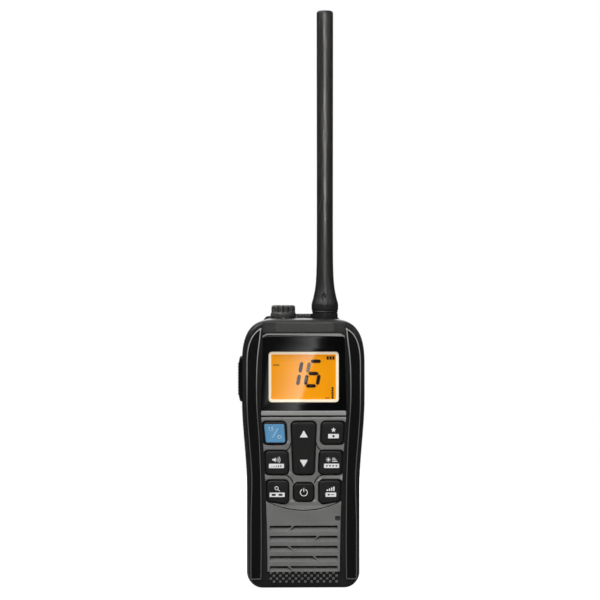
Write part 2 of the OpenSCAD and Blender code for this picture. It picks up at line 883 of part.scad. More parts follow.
module chassis() {
    windows = [[chassis_low + 12, chassis_low + 38], [chassis_low + 54, chassis_low + 80]];
    color([0.62, 0.63, 0.65])
        difference() {
            union() {
                plate(
                    rounded(box(-chassis_half, chassis_low, chassis_half, chassis_top), 2),
                    chassis_y, chassis_y + chassis_t
                );
                for (x = [-chassis_half, chassis_half - chassis_side])
                    block(
                        [x, main_y + fit, chassis_low + 4],
                        [x + chassis_side, chassis_y + fit, chassis_top - 3]
                    );
            }
            for (w = windows)
                plate(
                    rounded(box(chassis_bar - chassis_half, w[0], chassis_half - chassis_bar, w[1]), 2),
                    chassis_y - 1, chassis_y + chassis_t + 1
                );
        }
}

// ---- Top of the radio

bush_r = shaft_r + 0.9;
socket_r = plug_r + 1.4;
cavity_top = body_h - top_wall;

module encoder_body() {
    color([0.5, 0.5, 0.52])
        difference() {
            union() {
                block(
                    [-knob_x - 5.6, control_y - 4.6, cavity_top - 7.4],
                    [-knob_x + 5.6, control_y + 5, cavity_top - 0.4]
                );
                rod_z([-knob_x, control_y, cavity_top - 1], bush_r, top_wall + 1 + 1.8);
            }
            rod_z([-knob_x, control_y, cavity_top - 6], shaft_r + run_gap, top_wall + 10);
        }
}

module encoder_nut() {
    color([0.7, 0.7, 0.7])
        difference() {
            rod_z([-knob_x, control_y, body_h + 0.05], bush_r + 0.9, 1.2);
            rod_z([-knob_x, control_y, body_h - 1], bush_r + 0.05, 4);
        }
}

knob_z = body_h + 0.5;

module encoder_shaft() {
    color([0.8, 0.8, 0.8])
        rod_z([-knob_x, control_y, cavity_top - 5.8], shaft_r, knob_z + knob_h - 1.3 - cavity_top + 5.8);
}

module knob_cap() {
    flute_r = 0.75;
    color([0.2, 0.2, 0.2])
        difference() {
            translate([-knob_x, control_y, knob_z])
                rotate_extrude()
                    polygon([
                        [0, 0], [skirt_r - 0.2, 0], [skirt_r, 0.3], [skirt_r, skirt_h], [knob_r, skirt_h + 0.5],
                        [knob_r - 0.1, knob_h - 0.8], [knob_r - 0.8, knob_h], [0, knob_h]
                    ]);
            for (i = [0:flutes - 1])
                translate([-knob_x, control_y, 0])
                    rotate([0, 0, 360 * (i + 0.5) / flutes])
                        rod_z([knob_r + 0.15, 0, knob_z + skirt_h + 0.6], flute_r, knob_h);
            rod_z([-knob_x, control_y, knob_z - 1], bush_r + 1.2, 2.6);
            rod_z([-knob_x, control_y, knob_z - 1], shaft_r + 0.02, knob_h - 0.2);
        }
}

module antenna_socket() {
    color([0.75, 0.6, 0.3])
        difference() {
            union() {
                rod_z([antenna_x, control_y, cavity_top - 2.6], socket_r + 1.1, 2.1);
                rod_z([antenna_x, control_y, boot_z - plug_l - 2], socket_r, plug_l + 1.6);
            }
            rod_z([antenna_x, control_y, boot_z - plug_l - 0.4], plug_r + run_gap, plug_l + 3);
        }
}

boot_z = body_h + collar_h;

module antenna_collar() {
    color([0.22, 0.22, 0.22])
        difference() {
            translate([antenna_x, control_y, body_h + 0.02])
                rotate_extrude()
                    polygon([
                        [0, 0], [boot_r - 0.2, 0], [boot_r - 0.2, collar_h - 0.5],
                        [boot_r - 0.6, collar_h - 0.15], [0, collar_h - 0.15]
                    ]);
            rod_z([antenna_x, control_y, body_h - 1], socket_r + fit, collar_h + 2);
        }
}

whip_tip_r = 1.3;

module antenna_whip() {
    color([0.2, 0.2, 0.2])
        difference() {
            translate([antenna_x, control_y, 0])
                rotate_extrude()
                    polygon([
                        [0, boot_z], [boot_r - 0.3, boot_z], [boot_r, boot_z + 0.5],
                        [boot_r, boot_z + boot_h * 0.22], [boot_r - 0.75, boot_z + boot_h * 0.38],
                        [boot_r - 1.75, boot_z + boot_h * 0.66], [whip_r + 0.35, boot_z + boot_h],
                        [whip_r + 0.1, boot_z + boot_h + 5], [whip_r - 0.05, boot_z + boot_h + 14],
                        [whip_r, antenna_tip - whip_tip_r],
                        [whip_r - whip_tip_r * 0.3, antenna_tip - whip_tip_r * 0.3],
                        [whip_r - whip_tip_r, antenna_tip], [0, antenna_tip]
                    ]);
            rod_z([antenna_x, control_y, boot_z - 1], plug_r + 1.2 + 0.02, 7.02);
            rod_z([antenna_x, control_y, boot_z - 1], core_r + 0.02, antenna_tip - boot_z - 5);
        }
}

core_r = 1.3;

module antenna_core() {
    color([0.72, 0.45, 0.2])
        rod_z([antenna_x, control_y, boot_z + 6.02], core_r, antenna_tip - boot_z - 12.2);
}

module antenna_plug() {
    color([0.8, 0.65, 0.3]) {
        rod_z([antenna_x, control_y, boot_z - plug_l], plug_r, plug_l + 1);
        rod_z([antenna_x, control_y, boot_z], plug_r + 1.2, 6);
    }
}

// ---- Push-to-talk key, jack and its cover

module ptt_key() {
    gap = 0.3;
    x0 = -hip_w / 2 - ptt_proud;
    z0 = ptt_z + gap;
    z1 = ptt_z + ptt_l - gap;
    y0 = ptt_y + gap;
    y1 = ptt_y + ptt_w - gap;
    wall_in = -hip_w / 2 + side_wall + ptt_gap;
    color([0.16, 0.16, 0.16]) {
        translate([0, y1, 0])
            rotate([90, 0, 0])
                linear_extrude(y1 - y0)
                    polygon([
                        [wall_in, z0], [wall_in, z1], [-hip_w / 2 - 0.1, z1],
                        [x0 + 0.45, z1 - 1.2], [x0, z1 - 3.4], [x0, z0 + 3.4], [x0 + 0.45, z0 + 1.2],
                        [-hip_w / 2 - 0.1, z0]
                    ]);
        for (i = [-5:5])
            rod_y([x0, y0 + 0.8, (z0 + z1) / 2 + i * 1.5], 0.3, y1 - y0 - 1.6);
        block([wall_in - 0.01, y0 - 0.9, z0 - 0.9], [wall_in + ptt_in, y1 + 0.9, z1 + 0.9]);
    }
}

module ptt_switch() {
    x = -hip_w / 2 + side_wall + ptt_gap + ptt_in + ptt_travel + 0.15;
    z = ptt_z + ptt_l / 2;
    y = ptt_y + ptt_w / 2;
    color([0.75, 0.75, 0.7]) {
        rod_x([x, y, z], 1.2, 0.9);
        block([x + 0.9, y - 2.4, z - 2.4], [x + 3.6, y + 2.4, z + 2.4]);
        block([x + 3.6, y - 3, z - 9], [x + 4.6, main_y, z + 6]);
    }
}

jack_face = cover_x - 1.5;

module jack_socket() {
    color([0.1, 0.1, 0.1])
        difference() {
            union() {
                block(
                    [jack_face - 9, jack_y - 3.2, jack_z - 3.4],
                    [hip_w / 2 - side_wall - 0.2, jack_y + 3.2, jack_z + 3.4]
                );
                rod_x([jack_face - jack_l - 1, jack_y, jack_z], jack_r + 1, jack_l + 1);
            }
            rod_x([jack_face - jack_l, jack_y, jack_z], jack_r, jack_l + 3);
        }
}

hinge_x = hip_w / 2 - 0.55;
hinge_y = cover_y + cover_w - hinge_r;

module jack_cover() {
    z0 = jack_z - cover_h / 2 + fit;
    z1 = jack_z + cover_h / 2 - fit;
    color([0.13, 0.13, 0.13]) {
        block([cover_x + fit, cover_y + 0.15, z0], [cover_x + cover_t, hinge_y, z1]);
        rod_z([hinge_x - 0.1, hinge_y, z0], hinge_r - 0.12, z1 - z0);
        rod_x([cover_x - 0.9, jack_y, jack_z], jack_r + 0.7, 1.2);
    }
}

// ---- Battery pack

pack_top = ledge_z - pack_gap;
deep_half = 19;
lid_t = 1.2;
pack_y = seat_d + 0.25;
case_y = pack_y + lid_t + 0.05;

module rear_form_below(z) {
    intersection() {
        outline_loft(rear_profile);
        block([-hip_w, case_y, -1], [hip_w, back_d + 1, z]);
    }
}

module battery_case() {
    color([0.15, 0.15, 0.15])
        difference() {
            rear_form_below(pack_top);
            intersection() {
                union() {
                    plate(drawn_in(5.2, 5.2), case_y - 1, seat_d + 4.6);
                    plate(box(-deep_half, cell_z - 2, deep_half, pack_top), case_y - 1, back_d - pack_wall);
                }
                block([-hip_w, 0, 14.5], [hip_w, back_d, pack_top - pack_wall]);
            }
            latch_room();
            for (x = charge_x)
                rod_y([x, back_d - pack_wall - 1, charge_z], charge_r + fit, 4);
        }
}

module battery_cover() {
    color([0.12, 0.12, 0.12])
        difference() {
            plate(
                [for (p = drawn_in(2.5, 0.4)) [p.x, min(p.y, pack_top)]],
                pack_y, pack_y + lid_t
            );
            for (x = contact_x)
                rod_y([x, pack_y - 1, contact_z], contact_r + 0.6, lid_t + 2);
            latch_passage(0.4, pack_y - 1, pack_y + 4);
        }
}

cell_y = case_y + 0.6;

module battery_cells() {
    color([0.3, 0.45, 0.65])
        for (side = [-1, 1])
            translate([side * (cell_w + 0.6) / 2, 0, 0])
                plate(rounded(box(-cell_w / 2, cell_z, cell_w / 2, cell_z + cell_h), 1.2), cell_y, cell_y + cell_t);
}

contact_r = 1.1;
contact_z = ledge_z - 9.5;
contact_x = [-7, 0, 7];
charge_x = [-9, 9];
charge_r = 1.6;
charge_z = 19.5;

module battery_contacts() {
    color([0.85, 0.7, 0.3]) {
        for (x = contact_x)
            rod_y([x, pack_y + 0.5, contact_z], contact_r + 0.4, lid_t);
        for (x = charge_x)
            rod_y([x, back_d - pack_wall - 0.6, charge_z], charge_r, pack_wall + 0.4);
    }
}

pad_y = chassis_y + chassis_t + fit;

module radio_contacts() {
    color([0.85, 0.7, 0.3])
        for (x = contact_x) {
            rod_y([x, pad_y, contact_z], contact_r - 0.2, seat_d - pad_y + 0.7);
            rod_y([x, pad_y, contact_z], contact_r + 0.6, 1.2);
        }
}

module case_screws() {
    color([0.7, 0.7, 0.72])
        at_screws() {
            rod_y([0, seat_d - 2.15, 0], screw_head_r, 1.6);
            rod_y([0, parting_y - 6, 0], screw_r, seat_d + parting_d + 4.4);
        }
}

// ---- Battery latch

latch_z = 6;
latch_stem = 4;
latch_stem_h = 3;
latch_gap = 0.3;
latch_pad_z = 4.6;
latch_pad_h = 7;

module latch_room() {
    block(
        [-latch_w / 2 - latch_gap, back_d - 2.2, latch_pad_z - latch_gap],
        [latch_w / 2 + latch_gap, back_d + 2, latch_pad_z + latch_pad_h + latch_travel + latch_gap]
    );
    latch_passage(latch_gap, case_y - 1, back_d);
    block([-1.9, case_y + 2, latch_z], [1.9, case_y + 6, 14.1]);
}

// The way of the latch's stem through a wall, from the depth y0 to the depth y1
module latch_passage(gap, y0, y1) {
    block(
        [-latch_stem - gap, y0, latch_z - gap],
        [latch_stem + gap, y1, latch_z + latch_stem_h + latch_travel + gap]
    );
}

module battery_latch() {
    color([0.3, 0.3, 0.3]) {
        block([-latch_w / 2, back_d - 2, latch_pad_z], [latch_w / 2, back_d - 0.4, latch_pad_z + latch_pad_h]);
        for (i = [0:3])
            block(
                [-latch_w / 2 + 2, back_d - 0.4, latch_pad_z + 1 + i * 1.5],
                [latch_w / 2 - 2, back_d, latch_pad_z + 1.7 + i * 1.5]
            );
        block([-latch_stem, seat_in_y - 1.6, latch_z], [latch_stem, back_d - 1.9, latch_z + latch_stem_h]);
        block([-latch_stem, seat_in_y - 1.6, latch_z - 1.6], [latch_stem, seat_in_y - 0.2, latch_z + 0.1]);
    }
}

spring_y = case_y + 4;

module latch_spring() {
    color([0.75, 0.75, 0.77])
        difference() {
            rod_z([0, spring_y, latch_z + latch_stem_h + 0.05], 1.6, 14 - latch_z - latch_stem_h - 0.05);
            rod_z([0, spring_y, latch_z], 1.1, 10);
        }
}

// ---- Belt clip

arm_y = back_d + belt_gap;
bracket_t = 2;
bracket_w = 24;
bracket_z = ledge_z + 4.2;
bracket_top = bracket_z + 16.3;
ear_t = 2.4;
pin_y = back_d + 4.2;
clip_screw_z = [bracket_z + 3, bracket_top - 3.4];

module clip_screw_holes(extra) {
    for (z = clip_screw_z)
        rod_y([0, back_d - 6, z], 1.2 + extra, 12);
}

module clip_bracket() {
    color([0.14, 0.14, 0.14])
        difference() {
            union() {
                plate(
                    rounded(box(-bracket_w / 2, bracket_z, bracket_w / 2, bracket_top), 2),
                    back_d + 0.02, back_d + bracket_t
                );
                for (side = [-1, 1])
                    translate([side * (bracket_w / 2 - ear_t / 2), 0, 0]) {
                        rod_x([-ear_t / 2, pin_y, clip_z], 3, ear_t);
                        block([-ear_t / 2, back_d + 0.5, clip_z - 3], [ear_t / 2, pin_y, clip_z + 3]);
                    }
            }
            rod_x([-bracket_w, pin_y, clip_z], pin_r + 0.02, bracket_w * 2);
            clip_screw_holes(fit);
            for (z = clip_screw_z)
                rod_y([0, back_d + bracket_t - 0.9, z], 2.4, 3);
        }
}

module clip_pin() {
    color([0.75, 0.75, 0.77])
        rod_x([-bracket_w / 2, pin_y, clip_z], pin_r, bracket_w);
}

module clip_spring() {
    color([0.7, 0.7, 0.72])
        difference() {
            rod_x([-3.6, pin_y, clip_z], 1.9, 7.2);
            rod_x([-5, pin_y, clip_z], pin_r + 0.1, 10);
        }
}

module clip_screws() {
    color([0.7, 0.7, 0.72])
        for (z = clip_screw_z) {
            rod_y([0, back_d - 4, z], 1.2, 4 + bracket_t - 0.8);
            rod_y([0, back_d + bracket_t - 0.85, z], 2.2, 0.8);
        }
}

module clip_arm() {
    knuckle_r = 2;
    arm_half = bracket_w / 2 - ear_t - 0.3;
    color([0.15, 0.15, 0.15])
        difference() {
            union() {
                rod_x([-arm_half, pin_y, clip_z], knuckle_r, 2 * arm_half);
                block([-arm_half, arm_y, clip_foot + 20], [arm_half, arm_y + clip_t, clip_z + 4]);
                plate(
                    rounded(box(-clip_w / 2, clip_foot, clip_w / 2, clip_foot + 30), 3),
                    arm_y, arm_y + clip_t
                );
                block(
                    [-clip_w / 2 + 3, arm_y - 2.4, clip_foot + 1.2],
                    [clip_w / 2 - 3, arm_y + 0.1, clip_foot + 3.2]
                );
                block([-arm_half, pin_y, clip_z - knuckle_r], [arm_half, arm_y + 0.1, clip_z + knuckle_r]);
            }
            rod_x([-bracket_w, pin_y, clip_z], pin_r + run_gap, bracket_w * 2);
            block([-4, back_d - 1, clip_z - 4], [4, arm_y - 0.3, clip_z + 5]);
            rod_x([-4, pin_y, clip_z], 2.2, 8);
        }
}

// ---- Keys

module rubber_key(q) {
    color([0.19, 0.19, 0.19])
        key(q);
}

module key_blue() {
    color([0.38, 0.65, 0.85])
        key(wells[0]);
}

module key_volume() { rubber_key(wells[1]); }

module key_scan() { rubber_key(wells[2]); }

module key_favourite() { rubber_key(wells[3]); }

module key_weather() { rubber_key(wells[4]); }

module key_level() { rubber_key(wells[5]); }

module key_power() { rubber_key(wells[6]); }

rocker_gap = 0.5;

module key_rocker() {
    rest_y = inner_y - 0.7;
    pin_half = rocker_at(rocker_mid) + 0.8;
    color([0.19, 0.19, 0.19])
        difference() {
            union() {
                plate(rounded(grown(rocker_well, -rocker_gap), well_r - rocker_gap), key_y, rest_y);
                rod_x([-pin_half, rocker_y, rocker_mid], rocker_pin_r, 2 * pin_half);
                rod_x([-3, mat_y - 0.75, rocker_mid], 0.7, 6);
                block([-3, rest_y - 0.1, rocker_mid - 0.7], [3, mat_y - 0.75, rocker_mid + 0.7]);
                for (side = [-1, 1])
                    rod_y([0, rest_y - 0.1, rocker_mid + side * rocker_arm], 1.5, mat_y - 0.9 - rest_y);
            }
            for (z = [rocker_mid - 0.9, rocker_mid + 0.9])
                block([-3.8, key_y - 1, z - 0.15], [3.8, key_y + 0.3, z + 0.15]);
        }
}

front_shell();
rail_left();
rail_right();
top_plate();
window_trim();
lens();
lcd_frame();
lcd_glass();
backlight();
keypad_frame();
keypad_mat();
key_domes();
key_board();
grille_panel();
grille_membrane();
speaker_frame();
speaker_cone();
speaker_magnet();
microphone();
case_gasket();
rear_shell();
chassis();
main_board();
board_parts();
rf_shields();
antenna_socket();
antenna_collar();
encoder_body();
encoder_nut();
ptt_switch();
jack_socket();
radio_contacts();
case_screws();
battery_case();
battery_cover();
battery_cells();
battery_contacts();
clip_bracket();
clip_pin();
clip_spring();
clip_screws();
latch_spring();
key_blue();
key_favourite();
key_volume();
key_weather();
key_scan();
key_power();
key_level();
key_rocker();
ptt_key();
knob_cap();
encoder_shaft();
antenna_whip();
antenna_core();
antenna_plug();
jack_cover();
battery_latch();
clip_arm();
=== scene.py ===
"""Finishes and fine shapes of a hand-held marine VHF radio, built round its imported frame.

The file is laid out as an add-on and is run as a script. Lengths inside it are in millimetres,
in the frame's own axes: X to the viewer's right, Y away from the viewer, Z up from the base.
"""

import math

import bmesh
import bpy
from bpy.props import FloatProperty, FloatVectorProperty, IntProperty, PointerProperty
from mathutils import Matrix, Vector
from mathutils.geometry import tessellate_polygon


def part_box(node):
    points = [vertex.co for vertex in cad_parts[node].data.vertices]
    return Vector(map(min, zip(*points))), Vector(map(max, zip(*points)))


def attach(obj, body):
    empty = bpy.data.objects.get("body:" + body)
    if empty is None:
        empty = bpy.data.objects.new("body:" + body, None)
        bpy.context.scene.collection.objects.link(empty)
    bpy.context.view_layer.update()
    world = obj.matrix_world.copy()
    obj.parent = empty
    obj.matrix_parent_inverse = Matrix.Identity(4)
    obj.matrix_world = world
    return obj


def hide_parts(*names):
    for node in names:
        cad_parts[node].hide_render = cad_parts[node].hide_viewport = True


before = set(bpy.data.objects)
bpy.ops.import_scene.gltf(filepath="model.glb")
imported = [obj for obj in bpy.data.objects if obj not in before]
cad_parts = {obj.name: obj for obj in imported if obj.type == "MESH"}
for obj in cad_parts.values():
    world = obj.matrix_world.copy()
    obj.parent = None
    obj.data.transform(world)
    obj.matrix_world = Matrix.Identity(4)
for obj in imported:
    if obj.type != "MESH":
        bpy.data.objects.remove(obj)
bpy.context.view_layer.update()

bl_info = {
    "name": "Marine radio finish",
    "version": (1, 0, 0),
    "blender": (4, 5, 0),
    "location": "3D View > Sidebar > Radio",
    "description": "Builds the shapes and finishes of a hand-held marine radio",
    "category": "Object",
}

MM = 0.001
RADIO = "radio"
TINY = 1e-9
MERGE_DISTANCE = 1e-7


def node_box(name):
    """Lowest and highest corner of a frame node, in millimetres."""
    low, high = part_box(name)
    return Vector(low) / MM, Vector(high) / MM


def centre_of(name):
    """Middle of a frame node's box, in millimetres."""
    low, high = node_box(name)
    return [(a + b) / 2 for a, b in zip(low, high)]


# ---- Settings ----------------------------------------------------------------------------


class CasingSettings(bpy.types.PropertyGroup):
    hip_width: FloatProperty(name="Hip width", description="Width of the casing at its widest", default=62.0)
    waist_width: FloatProperty(name="Waist width", description="Width of the casing below the waist", default=56.8)
    waist_height: FloatProperty(name="Waist height", description="Height where the waist ends", default=50.0)
    hip_height: FloatProperty(name="Hip height", description="Height where the hips are widest", default=96.0)
    shoulder_height: FloatProperty(name="Shoulder height", description="Where the shoulders begin", default=110.0)
    shoulder_run: FloatProperty(name="Shoulder run", description="How far a shoulder curves in", default=19.0)
    corner_radius: FloatProperty(name="Corner radius", description="Radius of the lower corners", default=8.0)
    height: FloatProperty(name="Height", description="Height of the casing's top deck", default=135.5)
    wall: FloatProperty(name="Wall", description="Thickness of the casing's sides", default=2.9)
    colour: FloatVectorProperty(
        name="Casing colour", description="Moulded casing", subtype="COLOR", default=(0.0075, 0.0075, 0.0072)
    )
    rail_colour: FloatVectorProperty(
        name="Rail colour", description="Grip rails and talk key", subtype="COLOR", default=(0.0022, 0.0022, 0.0021)
    )


class PanelSettings(bpy.types.PropertyGroup):
    foot_half: FloatProperty(name="Foot half width", description="Half width of the panels at the foot", default=18.1)
    top_half: FloatProperty(name="Top half width", description="Half width at the window", default=21.5)
    foot_height: FloatProperty(name="Foot height", description="Where the panels begin", default=2.2)
    window_low: FloatProperty(name="Window bottom", description="Lower edge of the window", default=89.4)
    window_high: FloatProperty(name="Window top", description="Upper edge of the window", default=127.0)
    arc_radius: FloatProperty(name="Arc radius", description="Arc between keypad and grille", default=39.7)
    arc_low: FloatProperty(name="Arc bottom", description="Lowest point of that arc", default=39.6)
    colour: FloatVectorProperty(
        name="Panel colour", description="Keypad frame and grille", subtype="COLOR", default=(0.165, 0.165, 0.160)
    )
    top_colour: FloatVectorProperty(
        name="Top plate colour", description="Dark grey top plate", subtype="COLOR", default=(0.021, 0.021, 0.020)
    )
    trim_colour: FloatVectorProperty(
        name="Trim colour", description="Light strip over the window", subtype="COLOR", default=(0.21, 0.21, 0.205)
    )


class DisplaySettings(bpy.types.PropertyGroup):
    border: FloatProperty(name="Border", description="Width of the white border", default=1.3)
    corner: FloatProperty(name="Corner", description="Radius of the border's corners", default=1.6)
    amber: FloatVectorProperty(
        name="Amber", description="Colour of the lit display", subtype="COLOR", default=(0.66, 0.25, 0.004)
    )
    glow: FloatProperty(name="Glow", description="Strength of the display's own light", default=0.67, min=0.0)
    border_colour: FloatVectorProperty(
        name="Border colour", description="Printed border", subtype="COLOR", default=(0.80, 0.71, 0.56)
    )


class KeySettings(bpy.types.PropertyGroup):
    gap: FloatProperty(name="Gap", description="Gap round a key", default=0.4)
    corner: FloatProperty(name="Corner", description="Radius of a key opening's corners", default=2.6)
    fillet: FloatProperty(name="Fillet", description="Rounding of a key's top edge", default=0.75)
    web: FloatProperty(name="Web", description="Width between outer keys and middle column", default=1.9)
    colour: FloatVectorProperty(
        name="Key colour", description="Key rubber", subtype="COLOR", default=(0.0125, 0.0125, 0.0120)
    )
    blue: FloatVectorProperty(
        name="Blue", description="Face of the blue key", subtype="COLOR", default=(0.105, 0.285, 0.48)
    )
    print_colour: FloatVectorProperty(
        name="Print", description="White print on the keys", subtype="COLOR", default=(0.86, 0.86, 0.85)
    )


class GrilleSettings(bpy.types.PropertyGroup):
    slot_width: FloatProperty(name="Slot width", description="Width of a grille slot", default=34.0)
    slot_height: FloatProperty(name="Slot height", description="Height of a grille slot", default=2.5)
    pitch: FloatProperty(name="Pitch", description="Distance between slots", default=5.06)
    top: FloatProperty(name="Top slot", description="Height of the top slot's middle", default=30.3)
    rib: FloatProperty(name="Rib", description="Width of a diagonal rib", default=1.0)
    slots: IntProperty(name="Slots", description="Number of slots", default=5, min=1)
    knurl_rows: IntProperty(name="Knurl rows", description="Rows of studs under the slots", default=4, min=1)
    knurl_cell: FloatProperty(name="Knurl cell", description="Width of one stud's cell", default=1.57)


class ControlSettings(bpy.types.PropertyGroup):
    flutes: IntProperty(name="Flutes", description="Flutes round the knob", default=12, min=3)
    flute_depth: FloatProperty(name="Flute depth", description="Depth of a flute", default=0.62)
    knob_colour: FloatVectorProperty(
        name="Knob colour", description="Knob plastic", subtype="COLOR", default=(0.038, 0.038, 0.037)
    )
    antenna_colour: FloatVectorProperty(
        name="Antenna colour", description="Antenna rubber", subtype="COLOR", default=(0.0085, 0.0085, 0.0083)
    )


class StageSettings(bpy.types.PropertyGroup):
    camera_distance: FloatProperty(name="Camera distance", description="From the radio, in millimetres", default=1300)
    camera_azimuth: FloatProperty(
        name="Camera azimuth", description="Turn round the radio", subtype="ANGLE", default=math.radians(-2.0)
    )
    picture_span: FloatProperty(name="Picture span", description="Height that the picture takes in", default=303.6)
    picture_x: FloatProperty(name="Picture middle X", description="What the picture's middle looks at", default=-1.5)
    picture_z: FloatProperty(name="Picture middle Z", description="What the picture's middle looks at", default=144.9)
    key_power: FloatProperty(name="Key light", description="The large key light", unit="POWER", default=6.0)
    fill_power: FloatProperty(name="Fill light", description="The fill light", unit="POWER", default=1.0)
    side_power: FloatProperty(name="Side light", description="Over the left shoulder", unit="POWER", default=1.1)
    back_power: FloatProperty(name="Back light", description="Behind the radio", unit="POWER", default=4.4)
    top_power: FloatProperty(name="Top light", description="Above the radio", unit="POWER", default=0.12)
    strip_power: FloatProperty(name="Strip light", description="Narrow, on the antenna", unit="POWER", default=0.042)
    front_power: FloatProperty(name="Front light", description="Over the camera", unit="POWER", default=3.2)


# ---- Sums on shader sockets --------------------------------------------------------------


class Value:
    """An output socket that can be used in sums; each sum adds a Math node."""

    def __init__(self, shading, socket):
        self.shading = shading
        self.socket = socket

    def _sum(self, operation, a, b):
        return self.shading.node("ShaderNodeMath", {"operation": operation}, {0: a, 1: b})

    def __add__(self, other):
        return self._sum("ADD", self, other)

    def __radd__(self, other):
        return self._sum("ADD", other, self)

    def __sub__(self, other):
        return self._sum("SUBTRACT", self, other)

    def __rsub__(self, other):
        return self._sum("SUBTRACT", other, self)

    def __mul__(self, other):
        return self._sum("MULTIPLY", self, other)

    def __rmul__(self, other):
        return self._sum("MULTIPLY", other, self)

    def __truediv__(self, other):
        return self._sum("DIVIDE", self, other)

    def __rtruediv__(self, other):
        return self._sum("DIVIDE", other, self)

    def __pow__(self, other):
        return self._sum("POWER", self, other)

    def __rpow__(self, other):
        return self._sum("POWER", other, self)


class Shading:
    """A shader tree and the one way in which nodes are added to it."""

    def __init__(self, tree, output):
        self.tree = tree
        tree.nodes.clear()
        self.output = tree.nodes.new(output)

    def node(self, kind, settings=None, inputs=None, out=0):
        """Adds a node of any kind, sets it up and returns one of its outputs."""
        made = self.tree.nodes.new(kind)
        for key, setting in (settings or {}).items():
            setattr(made, key, setting)
        for key, value in (inputs or {}).items():
            if isinstance(value, Value):
                self.tree.links.new(value.socket, made.inputs[key])
            else:
                made.inputs[key].default_value = value
        return Value(self, made.outputs[out])

    def show(self, shader):
        """Ends the tree with a shader."""
        self.tree.links.new(shader.socket, self.output.inputs["Surface"])


class Finish(Shading):
    """One material and the nodes that make it."""

    def __init__(self, name):
        self.material = bpy.data.materials.new(name)
        self.material.use_nodes = True
        super().__init__(self.material.node_tree, "ShaderNodeOutputMaterial")
        self.place = self.node("ShaderNodeTexCoord", out="Object")

    def along(self, axis):
        """One coordinate of the place on the object, in metres."""
        return self.node("ShaderNodeSeparateXYZ", inputs={0: self.place}, out=axis)

    def noise(self, size, detail=2.0, roughness=0.5, place=None):
        """Noise whose blobs are about this many millimetres across."""
        return self.node("ShaderNodeTexNoise", inputs={
            "Vector": place or self.place, "Scale": 1 / (size * MM), "Detail": detail, "Roughness": roughness,
        })

    def cells(self, size):
        """Distance from the middles of cells that are about this many millimetres across."""
        return self.node(
            "ShaderNodeTexVoronoi", {"feature": "F1"}, {"Vector": self.place, "Scale": 1 / (size * MM)}, "Distance"
        )

    def stretched(self, x, y, z):
        """The place on the object, drawn out along each axis."""
        return self.node(
            "ShaderNodeVectorMath", {"operation": "MULTIPLY"}, {0: self.place, 1: (x, y, z)}, out="Vector"
        )

    def blend(self, factor, a, b):
        """A colour between two colours."""
        return self.node(
            "ShaderNodeMix",
            {"data_type": "RGBA", "clamp_factor": True},
            {"Factor": factor, 6: as_rgba(a), 7: as_rgba(b)},
            out=2,
        )

    def bump(self, height, distance):
        """A relief whose height is given in millimetres."""
        return self.node("ShaderNodeBump", inputs={"Height": height, "Distance": distance * MM}, out="Normal")

    def worn(self):
        """1 on sharp convex edges and 0 elsewhere."""
        sharp = self.node("ShaderNodeNewGeometry", out="Pointiness")
        return self.node(
            "ShaderNodeMapRange", {"clamp": True}, {"Value": sharp, "From Min": 0.52, "From Max": 0.60}, out="Result"
        )

    def surface(self, **sockets):
        """Ends the material with a Principled shader; underscores in names stand for spaces."""
        inputs = {key.replace("_", " "): value for key, value in sockets.items()}
        self.show(self.node("ShaderNodeBsdfPrincipled", inputs=inputs, out="BSDF"))
        return self.material


def as_rgba(colour):
    """A colour with its alpha; a linked colour stays as it is."""
    return colour if isinstance(colour, Value) else (*tuple(colour)[:3], 1.0)


def scaled(colour, k):
    """A colour made darker or lighter by a factor."""
    return tuple(min(1.0, c * k) for c in tuple(colour)[:3])


FINISHES = {}


def finish_for(name, maker):
    """Makes each material once."""
    if name not in FINISHES:
        FINISHES[name] = maker(name)
    return FINISHES[name]


def moulded(colour, grain=0.28, depth=0.02, rough=0.48, contrast=0.22, specular=0.5, wear=0.35):
    """Spark-textured moulded plastic: fine grain, slow tone changes and paler worn edges."""

    def make(name):
        f = Finish(name)
        grain_map = f.noise(grain, 3.0, 0.6)
        pits = f.cells(grain * 1.6)
        slow = f.noise(14.0, 3.0)
        tone = (slow - 0.5) * contrast * 1.4 + (grain_map - 0.5) * contrast + 0.5
        base = f.blend(tone, scaled(colour, 1 - contrast * 1.8), scaled(colour, 1 + contrast * 1.8))
        edge = f.worn() * (f.noise(1.6, 4.0) * wear)
        return f.surface(
            Base_Color=f.blend(edge, base, scaled(colour, 3.2)),
            Roughness=(grain_map - 0.5) * 0.22 + (slow - 0.5) * 0.14 + rough,
            Normal=f.bump(grain_map * 0.6 + pits * 0.5, depth),
            Specular_IOR_Level=specular,
        )

    return make


def rubber(colour, rough=0.55, grain=0.16, depth=0.008, specular=0.3, uneven=0.22):
    """Soft-touch rubber: dense fine grain, faint smears and a satin light."""

    def make(name):
        f = Finish(name)
        fine = f.noise(grain, 2.0)
        smear = f.noise(9.0, 4.0, place=f.stretched(1.0, 1.0, 0.45))
        tone = (smear - 0.5) * (uneven * 4) + (fine - 0.5) * 0.5 + 0.5
        return f.surface(
            Base_Color=f.blend(tone, scaled(colour, 0.72), scaled(colour, 1.3)),
            Roughness=(smear - 0.5) * uneven + rough,
            Normal=f.bump(fine, depth),
            Specular_IOR_Level=specular,
        )

    return make


def piping_satin(name):
    """The thin polished line round a grip rail; its pale colour is a painted highlight along the rail's edge, painted
    paler still over the shoulders.
    """
    f = Finish(name)
    fine = f.noise(0.3, 3.0)
    # painted highlight: the colour grows paler from 88 mm up over the next 36 mm, over the shoulders
    highlight_start, highlight_run = 88 * MM, 36 * MM
    painted_highlight = (f.along("Z") - highlight_start) / highlight_run + (fine - 0.5) * 0.4
    return f.surface(
        Base_Color=f.blend(painted_highlight, (0.09, 0.09, 0.088), (0.36, 0.36, 0.355)),
        Roughness=fine * 0.2 + 0.2,
        Normal=f.bump(fine, 0.003),
        Specular_IOR_Level=0.6,
    )


